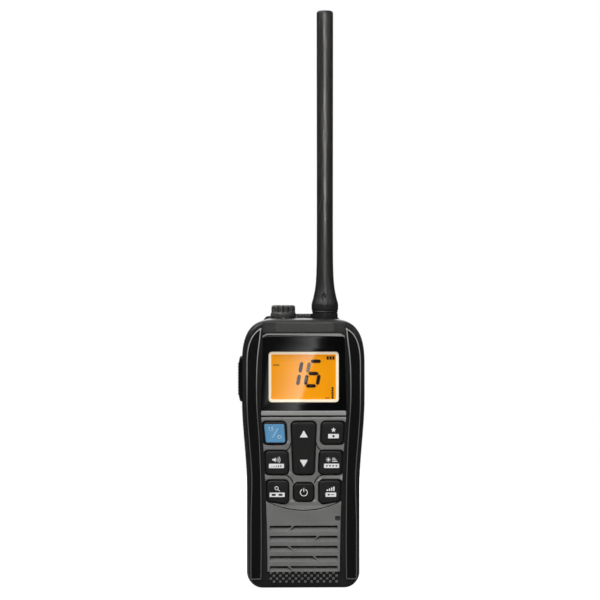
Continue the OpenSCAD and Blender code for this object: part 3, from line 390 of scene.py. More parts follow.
def metal(colour, rough=0.3, along=(1.0, 1.0, 0.06)):
    """Drawn or turned metal: fine lines along one axis and dull spots."""

    def make(name):
        f = Finish(name)
        lines = f.noise(0.12, 3.0, place=f.stretched(*along))
        spots = f.noise(2.5, 3.0)
        return f.surface(
            Base_Color=f.blend(lines * 0.6 + spots * 0.4, scaled(colour, 0.72), scaled(colour, 1.1)),
            Metallic=1.0,
            Roughness=(lines - 0.5) * 0.3 + (spots - 0.5) * 0.2 + rough,
            Normal=f.bump(lines, 0.004),
        )

    return make


def gloss_black(name):
    """The window's printed black: a wet gloss with a few faint wipe marks."""
    f = Finish(name)
    wipe = f.noise(16.0, 4.0, place=f.stretched(0.4, 1.0, 1.0))
    dust = f.noise(0.5, 2.0)
    return f.surface(
        Base_Color=f.blend(wipe, (0.0012, 0.0012, 0.0014), (0.0032, 0.0032, 0.0038)),
        Roughness=wipe * 0.04 + dust * 0.02 + 0.015,
        Specular_IOR_Level=0.5,
        Normal=f.bump(wipe, 0.002),
    )


def clear_pane(name):
    """The clear part of the window: see-through, with a hard gloss on top."""
    f = Finish(name)
    wipe = f.noise(14.0, 4.0)
    clear = f.node("ShaderNodeBsdfTransparent", inputs={"Color": (0.98, 0.98, 0.97, 1)})
    gloss = f.node(
        "ShaderNodeBsdfGlossy", inputs={"Color": (1, 1, 1, 1), "Roughness": 0.03, "Normal": f.bump(wipe, 0.002)}
    )
    slant = f.node("ShaderNodeLayerWeight", inputs={"Blend": 0.5}, out="Facing")
    shown = f.node("ShaderNodeMixShader", inputs={0: slant ** 5.0 * 0.96 + 0.04, 1: clear, 2: gloss})
    f.show(shown)
    return f.material


def lit_amber(settings):
    """The lit display: brighter towards its middle, with a faint grid of cells."""

    def make(name):
        f = Finish(name)
        low, high = node_box("lcd_glass")
        middle = (low + high) / 2 * MM
        from_middle = f.node(
            "ShaderNodeVectorMath", {"operation": "SUBTRACT"}, {0: f.place, 1: tuple(middle)}, out="Vector"
        )
        reach = f.node("ShaderNodeVectorMath", {"operation": "LENGTH"}, {0: from_middle}, out="Value")
        edge = reach / ((high.x - low.x) / 2 * MM)
        cloud = f.noise(11.0, 2.0)
        tone = edge * 0.55 + (cloud - 0.5) * 0.5
        amber = tuple(settings.amber)
        colour = f.blend(tone, scaled(amber, 1.03), scaled(amber, 0.86))
        return f.surface(
            Base_Color=colour,
            Emission_Color=colour,
            Emission_Strength=settings.glow,
            Specular_IOR_Level=0.0,
            Roughness=cloud * 0.1 + 0.35,
            Normal=f.bump(f.cells(0.35), 0.003),
        )

    return make


def ink(colour, rough=0.5, glow=0.0):
    """Printed marks: slightly uneven paint, lit from behind where glow is more than 0."""

    def make(name):
        f = Finish(name)
        uneven = f.noise(0.35, 3.0)
        tone = f.blend(uneven, scaled(colour, 0.82), scaled(colour, 1.06))
        return f.surface(
            Base_Color=tone,
            Emission_Color=tone,
            Emission_Strength=glow,
            Specular_IOR_Level=0.25,
            Roughness=uneven * 0.15 + rough,
            Normal=f.bump(uneven, 0.004),
        )

    return make


def circuit_board(name):
    """Green board with paler tracks in a brick pattern, seen from the front."""
    f = Finish(name)
    upright = f.node("ShaderNodeVectorRotate", {"rotation_type": "X_AXIS"}, {"Vector": f.place, "Angle": 1.5708})
    tracks = f.node(
        "ShaderNodeTexBrick",
        {"offset": 0.35, "squash": 0.6},
        {"Vector": upright, "Scale": 220.0, "Mortar Size": 0.03, "Color1": (0, 0, 0, 1),
         "Color2": (0.1, 0.1, 0.1, 1), "Mortar": (1, 1, 1, 1)},
        out="Fac",
    )
    weave = f.noise(0.4, 2.0)
    return f.surface(
        Base_Color=f.blend(tracks * 0.7 + weave * 0.2, (0.004, 0.075, 0.03), (0.02, 0.2, 0.09)),
        Roughness=weave * 0.15 + 0.3,
        Normal=f.bump(tracks, 0.02),
    )


def woven_mesh(name):
    """The fine dark cloth behind the grille."""
    f = Finish(name)
    turned = f.node("ShaderNodeVectorRotate", {"rotation_type": "Y_AXIS"}, {"Vector": f.place, "Angle": 0.785})
    threads = f.node(
        "ShaderNodeTexChecker",
        inputs={"Vector": turned, "Scale": 2600.0, "Color1": (1, 1, 1, 1), "Color2": (0, 0, 0, 1)},
        out="Fac",
    )
    return f.surface(
        Base_Color=f.blend(threads, (0.004, 0.004, 0.004), (0.02, 0.02, 0.02)),
        Roughness=0.8,
        Normal=f.bump(threads, 0.05),
    )


def printed_white(k):
    return ("print_white", ink(k.print_colour, 0.45))


GOLD_PLATE = ("gold_plate", metal((0.72, 0.5, 0.2), 0.28))
COPPER_WIRE = ("copper_wire", metal((0.6, 0.28, 0.12), 0.35))
TURNED_STEEL = ("turned_steel", metal((0.6, 0.61, 0.62)))
PRESSED_STEEL = ("pressed_steel", metal((0.55, 0.56, 0.57), 0.38))
SPRING_STEEL = ("spring_steel", metal((0.6, 0.61, 0.63), 0.25))
SCREW_STEEL = ("screw_steel", metal((0.5, 0.51, 0.52), 0.32))
TINNED_STEEL = ("tinned_steel", metal((0.66, 0.67, 0.69), 0.33, (0.06, 1.0, 1.0)))
DOME_STEEL = ("dome_steel", metal((0.7, 0.69, 0.65)))
CAST_ALLOY = ("cast_alloy", metal((0.52, 0.53, 0.55), 0.45, (1.0, 1.0, 1.0)))
BLACK_CHIP = ("chip_black", moulded((0.012, 0.012, 0.013), rough=0.35))
CONE_POLYMER = ("cone_polymer", moulded((0.02, 0.02, 0.022), rough=0.45))
CELL_SLEEVE = ("cell_sleeve", moulded((0.05, 0.14, 0.36), grain=0.5, depth=0.01, rough=0.3))
MAT_SILICONE = ("mat_silicone", rubber((0.05, 0.05, 0.055)))
SEAL_RUBBER = ("seal_rubber", rubber((0.12, 0.02, 0.015)))
SEAT_FOAM = ("seat_foam", rubber((0.006, 0.006, 0.006)))
GREEN_BOARD = ("board_green", circuit_board)


# ---- Mesh helpers ------------------------------------------------------------------------


def build(name, points, faces, maker, body=RADIO, slot=None, replaces=(), sharp=32.0):
    """Makes a piece from points in millimetres and faces."""
    mesh = mesh_of(name, points, faces)
    mesh.validate()
    return adopt(name, mesh, maker, body, replaces, sharp)


def mesh_of(name, points, faces):
    mesh = bpy.data.meshes.new(name)
    mesh.from_pydata([tuple(c * MM for c in p) for p in points], [], faces)
    return mesh


def clean(mesh):
    """Merges doubled points and turns all faces outwards."""
    work = bmesh.new()
    work.from_mesh(mesh)
    bmesh.ops.remove_doubles(work, verts=work.verts, dist=MERGE_DISTANCE)
    bmesh.ops.recalc_face_normals(work, faces=work.faces)
    work.to_mesh(mesh)
    work.free()


def adopt(name, mesh, maker, body, replaces, sharp):
    """Turns a mesh into a piece: cleans and shades it and gives it its finish and body."""
    clean(mesh)
    mesh.shade_smooth()
    mesh.set_sharp_from_angle(angle=math.radians(sharp))
    thing = bpy.data.objects.new(name, mesh)
    bpy.context.scene.collection.objects.link(thing)
    thing.modifiers.new("weighted", "WEIGHTED_NORMAL").keep_sharp = True
    mesh.materials.append(finish_for(*maker))
    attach(thing, body)
    if replaces:
        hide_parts(*replaces)
    return thing


def area(loop):
    """Area inside a loop, below 0 where it runs clockwise."""
    return sum(a[0] * b[1] - b[0] * a[1] for a, b in zip(loop, loop[1:] + loop[:1])) / 2


def inset(loop, d):
    """The loop moved by d to its left side, corner by corner."""
    if abs(d) < TINY:
        return list(loop)
    out = []
    n = len(loop)
    sharpest = 0.35
    for i, p in enumerate(loop):
        before, after = loop[i - 1], loop[(i + 1) % n]
        a = Vector((p[0] - before[0], p[1] - before[1]))
        b = Vector((after[0] - p[0], after[1] - p[1]))
        a = a.normalized() if a.length > TINY else b.normalized()
        b = b.normalized() if b.length > TINY else a
        left_a, left_b = Vector((-a.y, a.x)), Vector((-b.y, b.x))
        side = (left_a + left_b) / max(sharpest, 1 + left_a.dot(left_b))
        out.append((p[0] + side.x * d, p[1] + side.y * d))
    return out


def skin(rings):
    """Faces between closed rings with equal numbers of points, ring after ring."""
    n = len(rings[0])
    return [
        (k * n + i, k * n + (i + 1) % n, (k + 1) * n + (i + 1) % n, (k + 1) * n + i)
        for k in range(len(rings) - 1)
        for i in range(n)
    ]


def from_rings(rings):
    """A closed form from rings with equal numbers of points, with a flat face at either end."""
    n = len(rings[0])
    last = (len(rings) - 1) * n
    ends = [tuple(range(n)), tuple(last + i for i in range(n))]
    return [p for ring in rings for p in ring], skin(rings) + ends


def from_closed_rings(rings):
    """A form whose last ring joins its first, such as a hoop."""
    points = [p for ring in rings for p in ring]
    return points, [tuple(i % len(points) for i in face) for face in skin(rings + rings[:1])]


def slab(loops, back, front, bevel=0.2, steps=3, back_bevel=0.0):
    """A plate with holes, from front-view loops and two depths; the edges at the depth called front are rounded."""
    turned = [list(loops[0]) if area(loops[0]) > 0 else list(loops[0])[::-1]]
    turned += [list(hole) if area(hole) < 0 else list(hole)[::-1] for hole in loops[1:]]
    way = 1 if front > back else -1
    levels = [(back, back_bevel)]
    if back_bevel:
        levels.append((back + way * back_bevel, 0.0))
    for s in range(steps + 1):
        t = math.pi / 2 * s / steps
        levels.append((front - way * bevel * (1 - math.sin(t)), bevel * (1 - math.cos(t))))
    points, faces, front_loops, back_loops = [], [], [], []
    for loop in turned:
        rings = [[(x, y, z) for x, z in inset(loop, d)] for y, d in levels]
        start = len(points)
        points += [p for ring in rings for p in ring]
        faces += [tuple(start + i for i in face) for face in skin(rings)]
        front_loops.append((start + (len(rings) - 1) * len(loop), rings[-1]))
        back_loops.append((start, rings[0]))
    for group in (front_loops, back_loops):
        index = [start + i for start, ring in group for i in range(len(ring))]
        flat = [[Vector((p[0], p[2], 0)) for p in ring] for _, ring in group]
        faces += [tuple(index[i] for i in face) for face in tessellate_polygon(flat)]
    return points, faces


def rounded(points, r, steps=7):
    """A polygon with each corner replaced by an arc."""
    out = []
    n = len(points)
    for i in range(n):
        p, before, after = Vector(points[i]), Vector(points[i - 1]), Vector(points[(i + 1) % n])
        u, v = (before - p).normalized(), (after - p).normalized()
        half = math.acos(max(-1, min(1, u.dot(v)))) / 2
        centre = p + (u + v).normalized() * (r / math.sin(half))
        arm = p + u * (r / math.tan(half)) - centre
        turn = math.pi - 2 * half
        if u.x * v.y - u.y * v.x > 0:
            turn = -turn
        for s in range(steps + 1):
            t = turn * s / steps
            out.append(
                (centre.x + arm.x * math.cos(t) - arm.y * math.sin(t),
                 centre.y + arm.x * math.sin(t) + arm.y * math.cos(t))
            )
    return out


def box_loop(x0, z0, x1, z1):
    """A rectangle, anticlockwise from its lower left corner."""
    return [(x0, z0), (x1, z0), (x1, z1), (x0, z1)]


def soft_box(x0, z0, x1, z1, r, steps=7):
    """A rectangle with round corners."""
    return rounded(box_loop(x0, z0, x1, z1), r, steps)


def framed(low, high, margin, r):
    """A rectangle with round corners, larger than a node's box by a margin, or smaller where it is below 0."""
    return soft_box(low.x - margin, low.z - margin, high.x + margin, high.z + margin, r)


def circle(x, z, r, steps=40):
    turns = [2 * math.pi * i / steps for i in range(steps)]
    return [(x + r * math.cos(a), z + r * math.sin(a)) for a in turns]


def arc(x, z, r, start, end, steps):
    """Points of a round stretch between two angles in degrees."""
    turns = [math.radians(start + (end - start) * i / steps) for i in range(steps + 1)]
    return [(x + r * math.cos(a), z + r * math.sin(a)) for a in turns]


def joined(*parts):
    """Several (points, faces) meshes as one."""
    points, faces = [], []
    for more, added in parts:
        start = len(points)
        points += list(more)
        faces += [tuple(start + i for i in face) for face in added]
    return points, faces


def lathe(profile, x, y, steps=96, wave=None):
    """Turns (radius, height) points round an upright axis; wave may change a radius by its height and angle."""
    rings = []
    for r, z in profile:
        ring = []
        for i in range(steps):
            a = 2 * math.pi * i / steps
            reach = wave(r, z, a) if wave else r
            ring.append((x + reach * math.cos(a), y + reach * math.sin(a), z))
        rings.append(ring)
    return from_rings(rings)


def turned_to(mesh, turn):
    """Passes each point of a (points, faces) mesh through a function."""
    return [turn(p) for p in mesh[0]], mesh[1]


def side_on(mesh):
    """Turns a (points, faces) mesh that was drawn in front view so that it is seen from the side."""
    return turned_to(mesh, lambda q: (q[1], q[0], q[2]))


def carve(thing, tool, operation="DIFFERENCE"):
    """Cuts one mesh object with another, for good, and drops the tool."""
    cut = thing.modifiers.new("cut", "BOOLEAN")
    cut.object = tool
    cut.operation = operation
    cut.solver = "EXACT"
    evaluated = thing.evaluated_get(bpy.context.evaluated_depsgraph_get())
    result = bpy.data.meshes.new_from_object(evaluated)
    thing.modifiers.remove(cut)
    thing.data = result
    bpy.data.objects.remove(tool)


def cut_out(thing, loop, back, front, bevel=0.01, steps=1):
    """Cuts a front-view loop out of a mesh object, from one depth to another."""
    carve(thing, raw("cutter", *slab([loop], back, front, bevel, steps)))


def cut_in(thing, loop, inner, outer):
    """Cuts a side-view loop out of a mesh object, from one X to another."""
    carve(thing, raw("cutter", *side_on(slab([loop], inner, outer, bevel=0.01, steps=1))))


def raw(name, points, faces):
    """A bare mesh object, used as a tool or before it gets its finish."""
    mesh = mesh_of(name, points, faces)
    clean(mesh)
    thing = bpy.data.objects.new(name, mesh)
    bpy.context.scene.collection.objects.link(thing)
    return thing


def taken(thing):
    """The points, in millimetres, and the faces of a bare object, which is removed."""
    points = [tuple(c / MM for c in v.co) for v in thing.data.vertices]
    faces = [tuple(face.vertices) for face in thing.data.polygons]
    bpy.data.objects.remove(thing)
    return points, faces


def finished(thing, name, maker, replaces, sharp=28):
    """Turns a bare object into a piece of the radio's own body."""
    mesh = thing.data
    bpy.data.objects.remove(thing)
    mesh.materials.clear()
    return adopt(name, mesh, maker, RADIO, replaces, sharp)


def dress(maker, *nodes):
    """Gives frame nodes their finish."""
    for node in nodes:
        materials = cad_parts[node].data.materials
        materials.clear()
        materials.append(finish_for(*maker))


def smooth_rows(rows, per_span=5):
    """Catmull-Rom points through a list of number rows."""
    out = []
    n = len(rows)
    for k in range(n - 1):
        p0, p1, p2, p3 = rows[max(0, k - 1)], rows[k], rows[k + 1], rows[min(n - 1, k + 2)]
        for s in range(per_span):
            t = s / per_span
            out.append(tuple(
                0.5 * (2 * b + (c - a) * t + (2 * a - 5 * b + 4 * c - d) * t * t + (3 * b - a - 3 * c + d) * t ** 3)
                for a, b, c, d in zip(p0, p1, p2, p3)
            ))
    out.append(tuple(rows[-1]))
    return out


# ---- The casing's outline ----------------------------------------------------------------

FACE_Y = node_box("front_shell")[0].y
PARTING_Y = node_box("front_shell")[1].y
PANEL_Y = node_box("keypad_frame")[0].y
INNER_Y = node_box("lens")[1].y + 2.0
SEAT_Y = 8.0
BACK_Y = node_box("battery_case")[1].y
LEDGE_Z = node_box("battery_case")[1].z + 0.4

# (depth, side, base) rows of the rounded back, which the rear casing and the battery pack share.
BACK_ROWS = [
    (11.96, 2.8, 0.0), (15.48, 3.9, 0.3), (BACK_Y - 1.2, 5.2, 1.2), (BACK_Y - 0.3, 6.2, 1.8), (BACK_Y, 6.9, 2.4),
]


def ease(t):
    """A smooth step from 0 to 1."""
    t = max(0.0, min(1.0, t))
    return t * t * (3 - 2 * t)


def half_width(c, z):
    """Half the casing's width at a height."""
    grown = ease((z - c.waist_height) / (c.hip_height - c.waist_height))
    return c.waist_width / 2 + (c.hip_width - c.waist_width) / 2 * grown


def outline(c):
    """The casing seen from the front, anticlockwise from the right end of the base."""
    corner_steps, side_steps, shoulder_steps = 12, 22, 30
    power = 2 / 3
    straight = 6
    right = arc(c.waist_width / 2 - c.corner_radius, c.corner_radius, c.corner_radius, -90, 0, corner_steps)
    for i in range(side_steps + 1):
        z = c.corner_radius + straight + (c.hip_height - c.corner_radius - straight) * i / side_steps
        right.append((half_width(c, z), z))
    for i in range(shoulder_steps + 1):
        a = math.pi / 2 * i / shoulder_steps
        right.append((c.hip_width / 2 - c.shoulder_run + c.shoulder_run * max(0, math.cos(a)) ** power,
                      c.shoulder_height + (c.height - c.shoulder_height) * math.sin(a) ** power))
    return right + [(-x, z) for x, z in reversed(right)]


def drawn_in(c, side, base):
    """The outline drawn in by side, and lifted off the base by base."""
    loop = outline(c)
    out = []
    n = len(loop)
    for i, p in enumerate(loop):
        t = (Vector(loop[(i + 1) % n]) - Vector(loop[i - 1])).normalized()
        nx, nz = t.y, -t.x
        out.append((p[0] - nx * side, p[1] - nz * (base if nz < 0 else side)))
    return out


def outline_solid(c, profile):
    """A closed form whose outline at each depth is drawn in as the profile says."""
    rings = [[(x, y, z) for x, z in drawn_in(c, side, base)] for y, side, base in profile]
    points = [p for ring in rings for p in ring]
    n = len(rings[0])
    faces = skin(rings)
    for start, ring in ((0, rings[0]), ((len(rings) - 1) * n, rings[-1])):
        flat = [[Vector((p[0], p[2], 0)) for p in ring]]
        faces += [tuple(start + i for i in face) for face in tessellate_polygon(flat)]
    return points, faces


def edge_rows(deepest, steps=9):
    """Rows of (depth, side, base) that round the front edge over."""
    rows = []
    run, side, base, power = 6.0, 2.0, 1.4, 2.2
    for i in range(steps + 1):
        u = math.sin(math.pi / 2 * (1 - i / steps))
        k = 1 - (1 - u ** power) ** (1 / power)
        rows.append((deepest + run * (1 - u), side * k, base * k))
    return rows


# ---- Layout shared by the front panels -----------------------------------------------------


def panel_half(p, z):
    """Half the front panels' width at a height."""
    rise = max(0.0, z - p.foot_height) / (p.window_low - p.foot_height)
    return p.foot_half + (p.top_half - p.foot_half) * rise * rise


def arc_at(p, x):
    """Height of the arc between keypad and grille at a distance from the middle."""
    return p.arc_low + p.arc_radius - math.sqrt(p.arc_radius ** 2 - x * x)


MICROPHONE = (17.05, 35.2)
ARC_END_Z = 44.6
ROCKER = {"foot": 5.6, "top": 6.7, "low": 56.9, "high": 84.2}
POWER = {"half": 5.4, "low": 43.6, "high": 53.4}
ROWS = ((72.2, 84.2), (57.0, 69.6), (42.6, 54.8))
SIDE_KEYS = (("key_blue", "key_favourite"), ("key_volume", "key_weather"), ("key_scan", "key_level"))


def rocker_at(z):
    """Half the rocker key's width at a height."""
    rise = (z - ROCKER["low"]) / (ROCKER["high"] - ROCKER["low"])
    return ROCKER["foot"] + (ROCKER["top"] - ROCKER["foot"]) * rise


def side_well(p, k, row):
    """The opening of a left-hand key, anticlockwise from its lower left corner."""
    low, high = ROWS[row]
    rim = 0.25
    lowest = row == len(ROWS) - 1

    def inner(z):
        return POWER["half"] + k.web if lowest else rocker_at(z) + k.web - 0.4 * row

    raised_out, dropped_in = (1.2, 0.7) if lowest else (0.0, 0.0)
    return [
        (-panel_half(p, low) + rim, low + raised_out), (-inner(low), low - dropped_in),
        (-inner(high), high), (-panel_half(p, high) + rim, high),
    ]


def mirrored(quad):
    """A left-hand opening's match on the right."""
    return [(-quad[i][0], quad[i][1]) for i in (1, 0, 3, 2)]


def both_sides(right):
    """A loop from its right-hand half, which is given from the bottom up."""
    left = [(-x, z) for x, z in right]
    return left[:1] + right + left[:0:-1]


def wells(p, k):
    """Every key opening by the name of its key."""
    out = {}
    for row, (left, right) in enumerate(SIDE_KEYS):
        quad = side_well(p, k, row)
        out[left] = quad
        out[right] = mirrored(quad)
    out["key_power"] = box_loop(-POWER["half"], POWER["low"], POWER["half"], POWER["high"])
    out["key_rocker"] = both_sides([(ROCKER["foot"], ROCKER["low"]), (ROCKER["top"], ROCKER["high"])])
    return out


def body_of_key(node):
    """Body of a key's node: key_scan rides on scan_key."""
    return node.replace("key_", "") + "_key"


def casing_maker(c):
    return ("casing_plastic", moulded(c.colour, grain=0.3, depth=0.009, rough=0.34, contrast=0.16, specular=0.4,
                                      wear=0.2))


def rail_maker(c):
    return ("rail_rubber", rubber(c.rail_colour, rough=0.34, grain=0.2, depth=0.005, specular=0.2))


def panel_maker(p):
    return ("panel_plastic", moulded(p.colour, grain=0.42, depth=0.03, rough=0.44, contrast=0.32, specular=0.35,
                                     wear=0.9))


# ---- Operators -----------------------------------------------------------------------------


class RADIO_OT_stage(bpy.types.Operator):
    """Sets up the floor, the soft studio light and the camera"""

    bl_idname = "radio.stage"
    bl_label = "Stage"

    def execute(self, context):
        s = context.scene.radio_stage
        scene = context.scene
        scene.view_settings.view_transform = "Standard"
        self.floor()
        self.world(scene)
        middle = (0, 0, 90)
        for name, place, size, power in (
            ("key", (-380, -500, 820), (420, 420), s.key_power),
            ("side", (-420, -40, 560), (220, 260), s.side_power),
            ("fill", (520, -420, 520), (360, 360), s.fill_power),
            ("front", (60, -900, 700), (200, 300), s.front_power),
            ("back", (60, 760, 240), (900, 640), s.back_power),
            ("top", (0, 30, 640), (180, 60), s.top_power),
        ):
            self.light(name, place, middle, size, power)
        strip = self.light("strip", (-34, -900, 304), (11, 3, 266), (60, 196), s.strip_power)
        strip.data.spread = math.radians(8)
        strip.data.color = (1.0, 0.98, 0.93)
        self.card()
        self.flags()
        self.camera(scene, s)
        return {"FINISHED"}

    @staticmethod
    def floor():
        """White ground, which the camera sees lit by itself and which the lights shade."""
        size = 900
        corners = [(x, y, 0) for x, y in box_loop(-size, -size, size, size)]
        ground = raw("floor", corners, [(0, 1, 2, 3)])
        f = Finish("floor_white")
        grain = f.noise(40.0, 2.0)
        diffuse = f.node("ShaderNodeBsdfDiffuse", inputs={"Color": f.blend(grain, (0.24,) * 3, (0.27,) * 3)})
        reach = f.node("ShaderNodeVectorMath", {"operation": "LENGTH"}, {0: f.place}, out="Value")
        tone = f.blend(reach / (400 * MM) - 0.1, (0.84,) * 3, (1.0,) * 3)
        light = f.node("ShaderNodeEmission", inputs={"Color": tone, "Strength": 1.1})
        lit = f.node("ShaderNodeAddShader", inputs={0: diffuse, 1: light})
        path = f.node("ShaderNodeLightPath", out="Is Camera Ray")
        shown = f.node("ShaderNodeMixShader", inputs={0: path, 1: diffuse, 2: lit})
        f.show(shown)
        ground.data.materials.append(f.material)

    @staticmethod
    def world(scene):
        """White for the camera and, behind the radio, in reflections; softer or dark for other rays."""
        scene.world = bpy.data.worlds.new("studio")
        scene.world.use_nodes = True
        w = Shading(scene.world.node_tree, "ShaderNodeOutputWorld")

        def ray(kind):
            return w.node("ShaderNodeLightPath", out="Is " + kind + " Ray")

        def glow(colour, strength):
            return w.node("ShaderNodeBackground", inputs={"Color": as_rgba(colour), "Strength": strength})

        def larger(a, b):
            return w.node("ShaderNodeMath", {"operation": "MAXIMUM"}, {0: a, 1: b})

        depth = w.node("ShaderNodeSeparateXYZ", inputs={0: w.node("ShaderNodeTexCoord", out="Generated")}, out="Y")
        edge = {"Value": depth, "From Min": 0.05, "From Max": 0.35}
        behind = w.node("ShaderNodeMapRange", inputs=edge, out="Result")
        shown = larger(larger(ray("Camera"), ray("Glossy") * behind), ray("Transmission"))
        soft, dark, white = glow((0.78, 0.8, 0.82), 0.3), glow((0.05,) * 3, 0.4), glow((1,) * 3, 1)
        unseen = w.node("ShaderNodeMixShader", inputs={0: ray("Glossy"), 1: soft, 2: dark})
        w.show(w.node("ShaderNodeMixShader", inputs={0: shown, 1: unseen, 2: white}))

    @staticmethod
    def light(name, place, target, size, power):
        """A rectangular lamp that points at a target."""
        lamp = bpy.data.lights.new(name, "AREA")
        lamp.shape = "RECTANGLE"
        lamp.size, lamp.size_y = size[0] * MM, size[1] * MM
        lamp.energy = power
        thing = bpy.data.objects.new(name, lamp)
        thing.location = Vector(place) * MM
        thing.rotation_mode = "QUATERNION"
        thing.rotation_quaternion = (Vector(target) - Vector(place)).to_track_quat("-Z", "Y")
        bpy.context.scene.collection.objects.link(thing)
        return thing

    def card(self):
        """A tilted white card whose straight edge shows as a slanted glare in the window."""
        y, lean, edge, low, high = -700, 0.311, 1.0, -60, 190
        reach = 190
        points = [
            (edge + lean * low - reach, y, low), (edge + lean * low, y, low),
            (edge + lean * high, y, high), (edge + lean * high - reach, y, high),
        ]
        f = Finish("card_white")
        away = (f.along("Z") * lean + edge * MM - f.along("X")) / MM
        near = f.node("ShaderNodeMapRange", {"clamp": True}, {"Value": away, "From Min": 34.0, "From Max": 0.0},
                      out="Result")
        f.show(f.node("ShaderNodeEmission", inputs={"Color": (1, 1, 1, 1), "Strength": near ** 2.0 * 2.6 + 0.06}))
        self.mirrored_only(raw("card", points, [(0, 1, 2, 3)]), f)

    def flags(self):
        """Black cards beside the backdrop, which keep the radio's edges dark."""
        f = Finish("flag_black")
        weave = f.noise(30.0)
        f.surface(Base_Color=f.blend(weave, (0.002,) * 3, (0.005,) * 3), Roughness=1.0)
        for side in (-1, 1):
            x = side * 230
            points = [(x, 60, -100), (x, 2000, -100), (x, 2000, 700), (x, 60, 700)]
            self.mirrored_only(raw("flag", points, [(0, 1, 2, 3)]), f)

    @staticmethod
    def mirrored_only(thing, f):
        """Stage things that only reflections show."""
        thing.data.materials.append(f.material)
        thing.visible_camera = False
        thing.visible_diffuse = False
        thing.visible_shadow = False
        thing.visible_transmission = False

    @staticmethod
    def camera(scene, s):
        """A level camera that frames the whole radio."""
        data = bpy.data.cameras.new("camera")
        data.sensor_width = 36.0
        data.lens = data.sensor_width * s.camera_distance / s.picture_span
        data.clip_start, data.clip_end = 0.01, 100
        thing = bpy.data.objects.new("camera", data)
        a = s.camera_azimuth
        target = Vector((s.picture_x, -6.0, s.picture_z))
        back = Vector((math.sin(a), -math.cos(a), 0))
        thing.location = (target + back * s.camera_distance) * MM
        thing.rotation_mode = "QUATERNION"
        thing.rotation_quaternion = (-back).to_track_quat("-Z", "Y")
        scene.collection.objects.link(thing)
        scene.camera = thing


class RADIO_OT_casing(bpy.types.Operator):
    """Builds the front and rear casing shells"""

    bl_idname = "radio.casing"
    bl_label = "Casing"

    def execute(self, context):
        c, p, k = context.scene.radio_casing, context.scene.radio_panels, context.scene.radio_keys
        self.front(c, p, k)
        self.rear(c)
        dress(SEAL_RUBBER, "case_gasket")
        return {"FINISHED"}

    @staticmethod
    def front(c, p, k):
        """The front shell with its openings for window, keys, speaker, microphone, talk key and jack."""
        rows = edge_rows(FACE_Y) + [
            (FACE_Y + 8, 0.0, 0.0), (PARTING_Y - 1.6, 0.3, 0.0), (PARTING_Y - 0.35, 0.5, 0.0), (PARTING_Y, 0.85, 0.3),
        ]
        shell = raw("front_work", *outline_solid(c, rows))
        cut_out(shell, drawn_in(c, c.wall, c.wall), PARTING_Y + 1, INNER_Y)
        low, high = node_box("lcd_frame")
        openings = [framed(low, high, 0.1, 1.5)]
        openings += [rounded(quad, k.corner) for quad in wells(p, k).values()]
        low, high = node_box("grille_membrane")
        openings += [box_loop(low.x, low.z, high.x, high.z), circle(*MICROPHONE, 1.0)]
        for loop in openings:
            cut_out(shell, loop, INNER_Y + 1, FACE_Y - 1)
        inside, outside = 26.0, 33.0
        low, high = node_box("ptt_key")
        pocket = soft_box(low.y + 0.7, low.z + 0.7, high.y - 0.7, high.z - 0.7, 1.6)
        cut_in(shell, pocket, -inside, -outside - 1)
        low, high = node_box("jack_cover")
        recess = soft_box(low.y - 0.25, low.z - 0.2, high.y + 0.25, high.z + 0.2, 0.6)
        cut_in(shell, recess, low.x + 0.75, outside)
        _, mid_y, mid_z = centre_of("jack_socket")
        cut_in(shell, circle(mid_y, mid_z, 3.3), inside, outside)
        finished(shell, "casing_front", casing_maker(c), replaces=("front_shell",))

    @staticmethod
    def rear(c):
        """The rear shell with the ridge behind the knob and the bay for the battery pack."""
        rows = [(PARTING_Y, 0.85, 0.3), (PARTING_Y + 0.35, 0.5, 0.0)]
        rows += smooth_rows([(PARTING_Y + 0.6, 0.52, 0.0), (2.0, 0.9, 0.0), (SEAT_Y, 2.0, 0.0)] + BACK_ROWS)
        shell = raw("rear_work", *outline_solid(c, rows))
        half, low_z = 19.5, c.height - 4.0
        ridge_y0, ridge_y1, ridge_z = 10.7, 16.1, node_box("rear_shell")[1].z
        mid = (ridge_z + c.height) / 2
        ridge = both_sides([
            (half, low_z), (half, c.height - 0.6), (half - 1.4, mid - 0.1), (half - 4.6, mid + 0.2),
            (half - 6.4, ridge_z),
        ])
        carve(shell, raw("ridge", *slab([rounded(ridge, 0.45, 3)], ridge_y1, ridge_y0, 0.45, 3, 0.45)), "UNION")
        deck = both_sides([(half - 1, low_z), (half - 1, c.height - 0.6), (half - 3, c.height)])
        carve(shell, raw("deck", *slab([deck], 11.5, PARTING_Y, 0.2, 2)), "UNION")
        cut_out(shell, drawn_in(c, c.wall, c.wall), SEAT_Y - 2, PARTING_Y - 1)
        bay = soft_box(-40, -5, 40, LEDGE_Z, 0.1, 1)
        cut_out(shell, bay, BACK_Y + 5, SEAT_Y)
        finished(shell, "casing_rear", casing_maker(c), replaces=("rear_shell",))


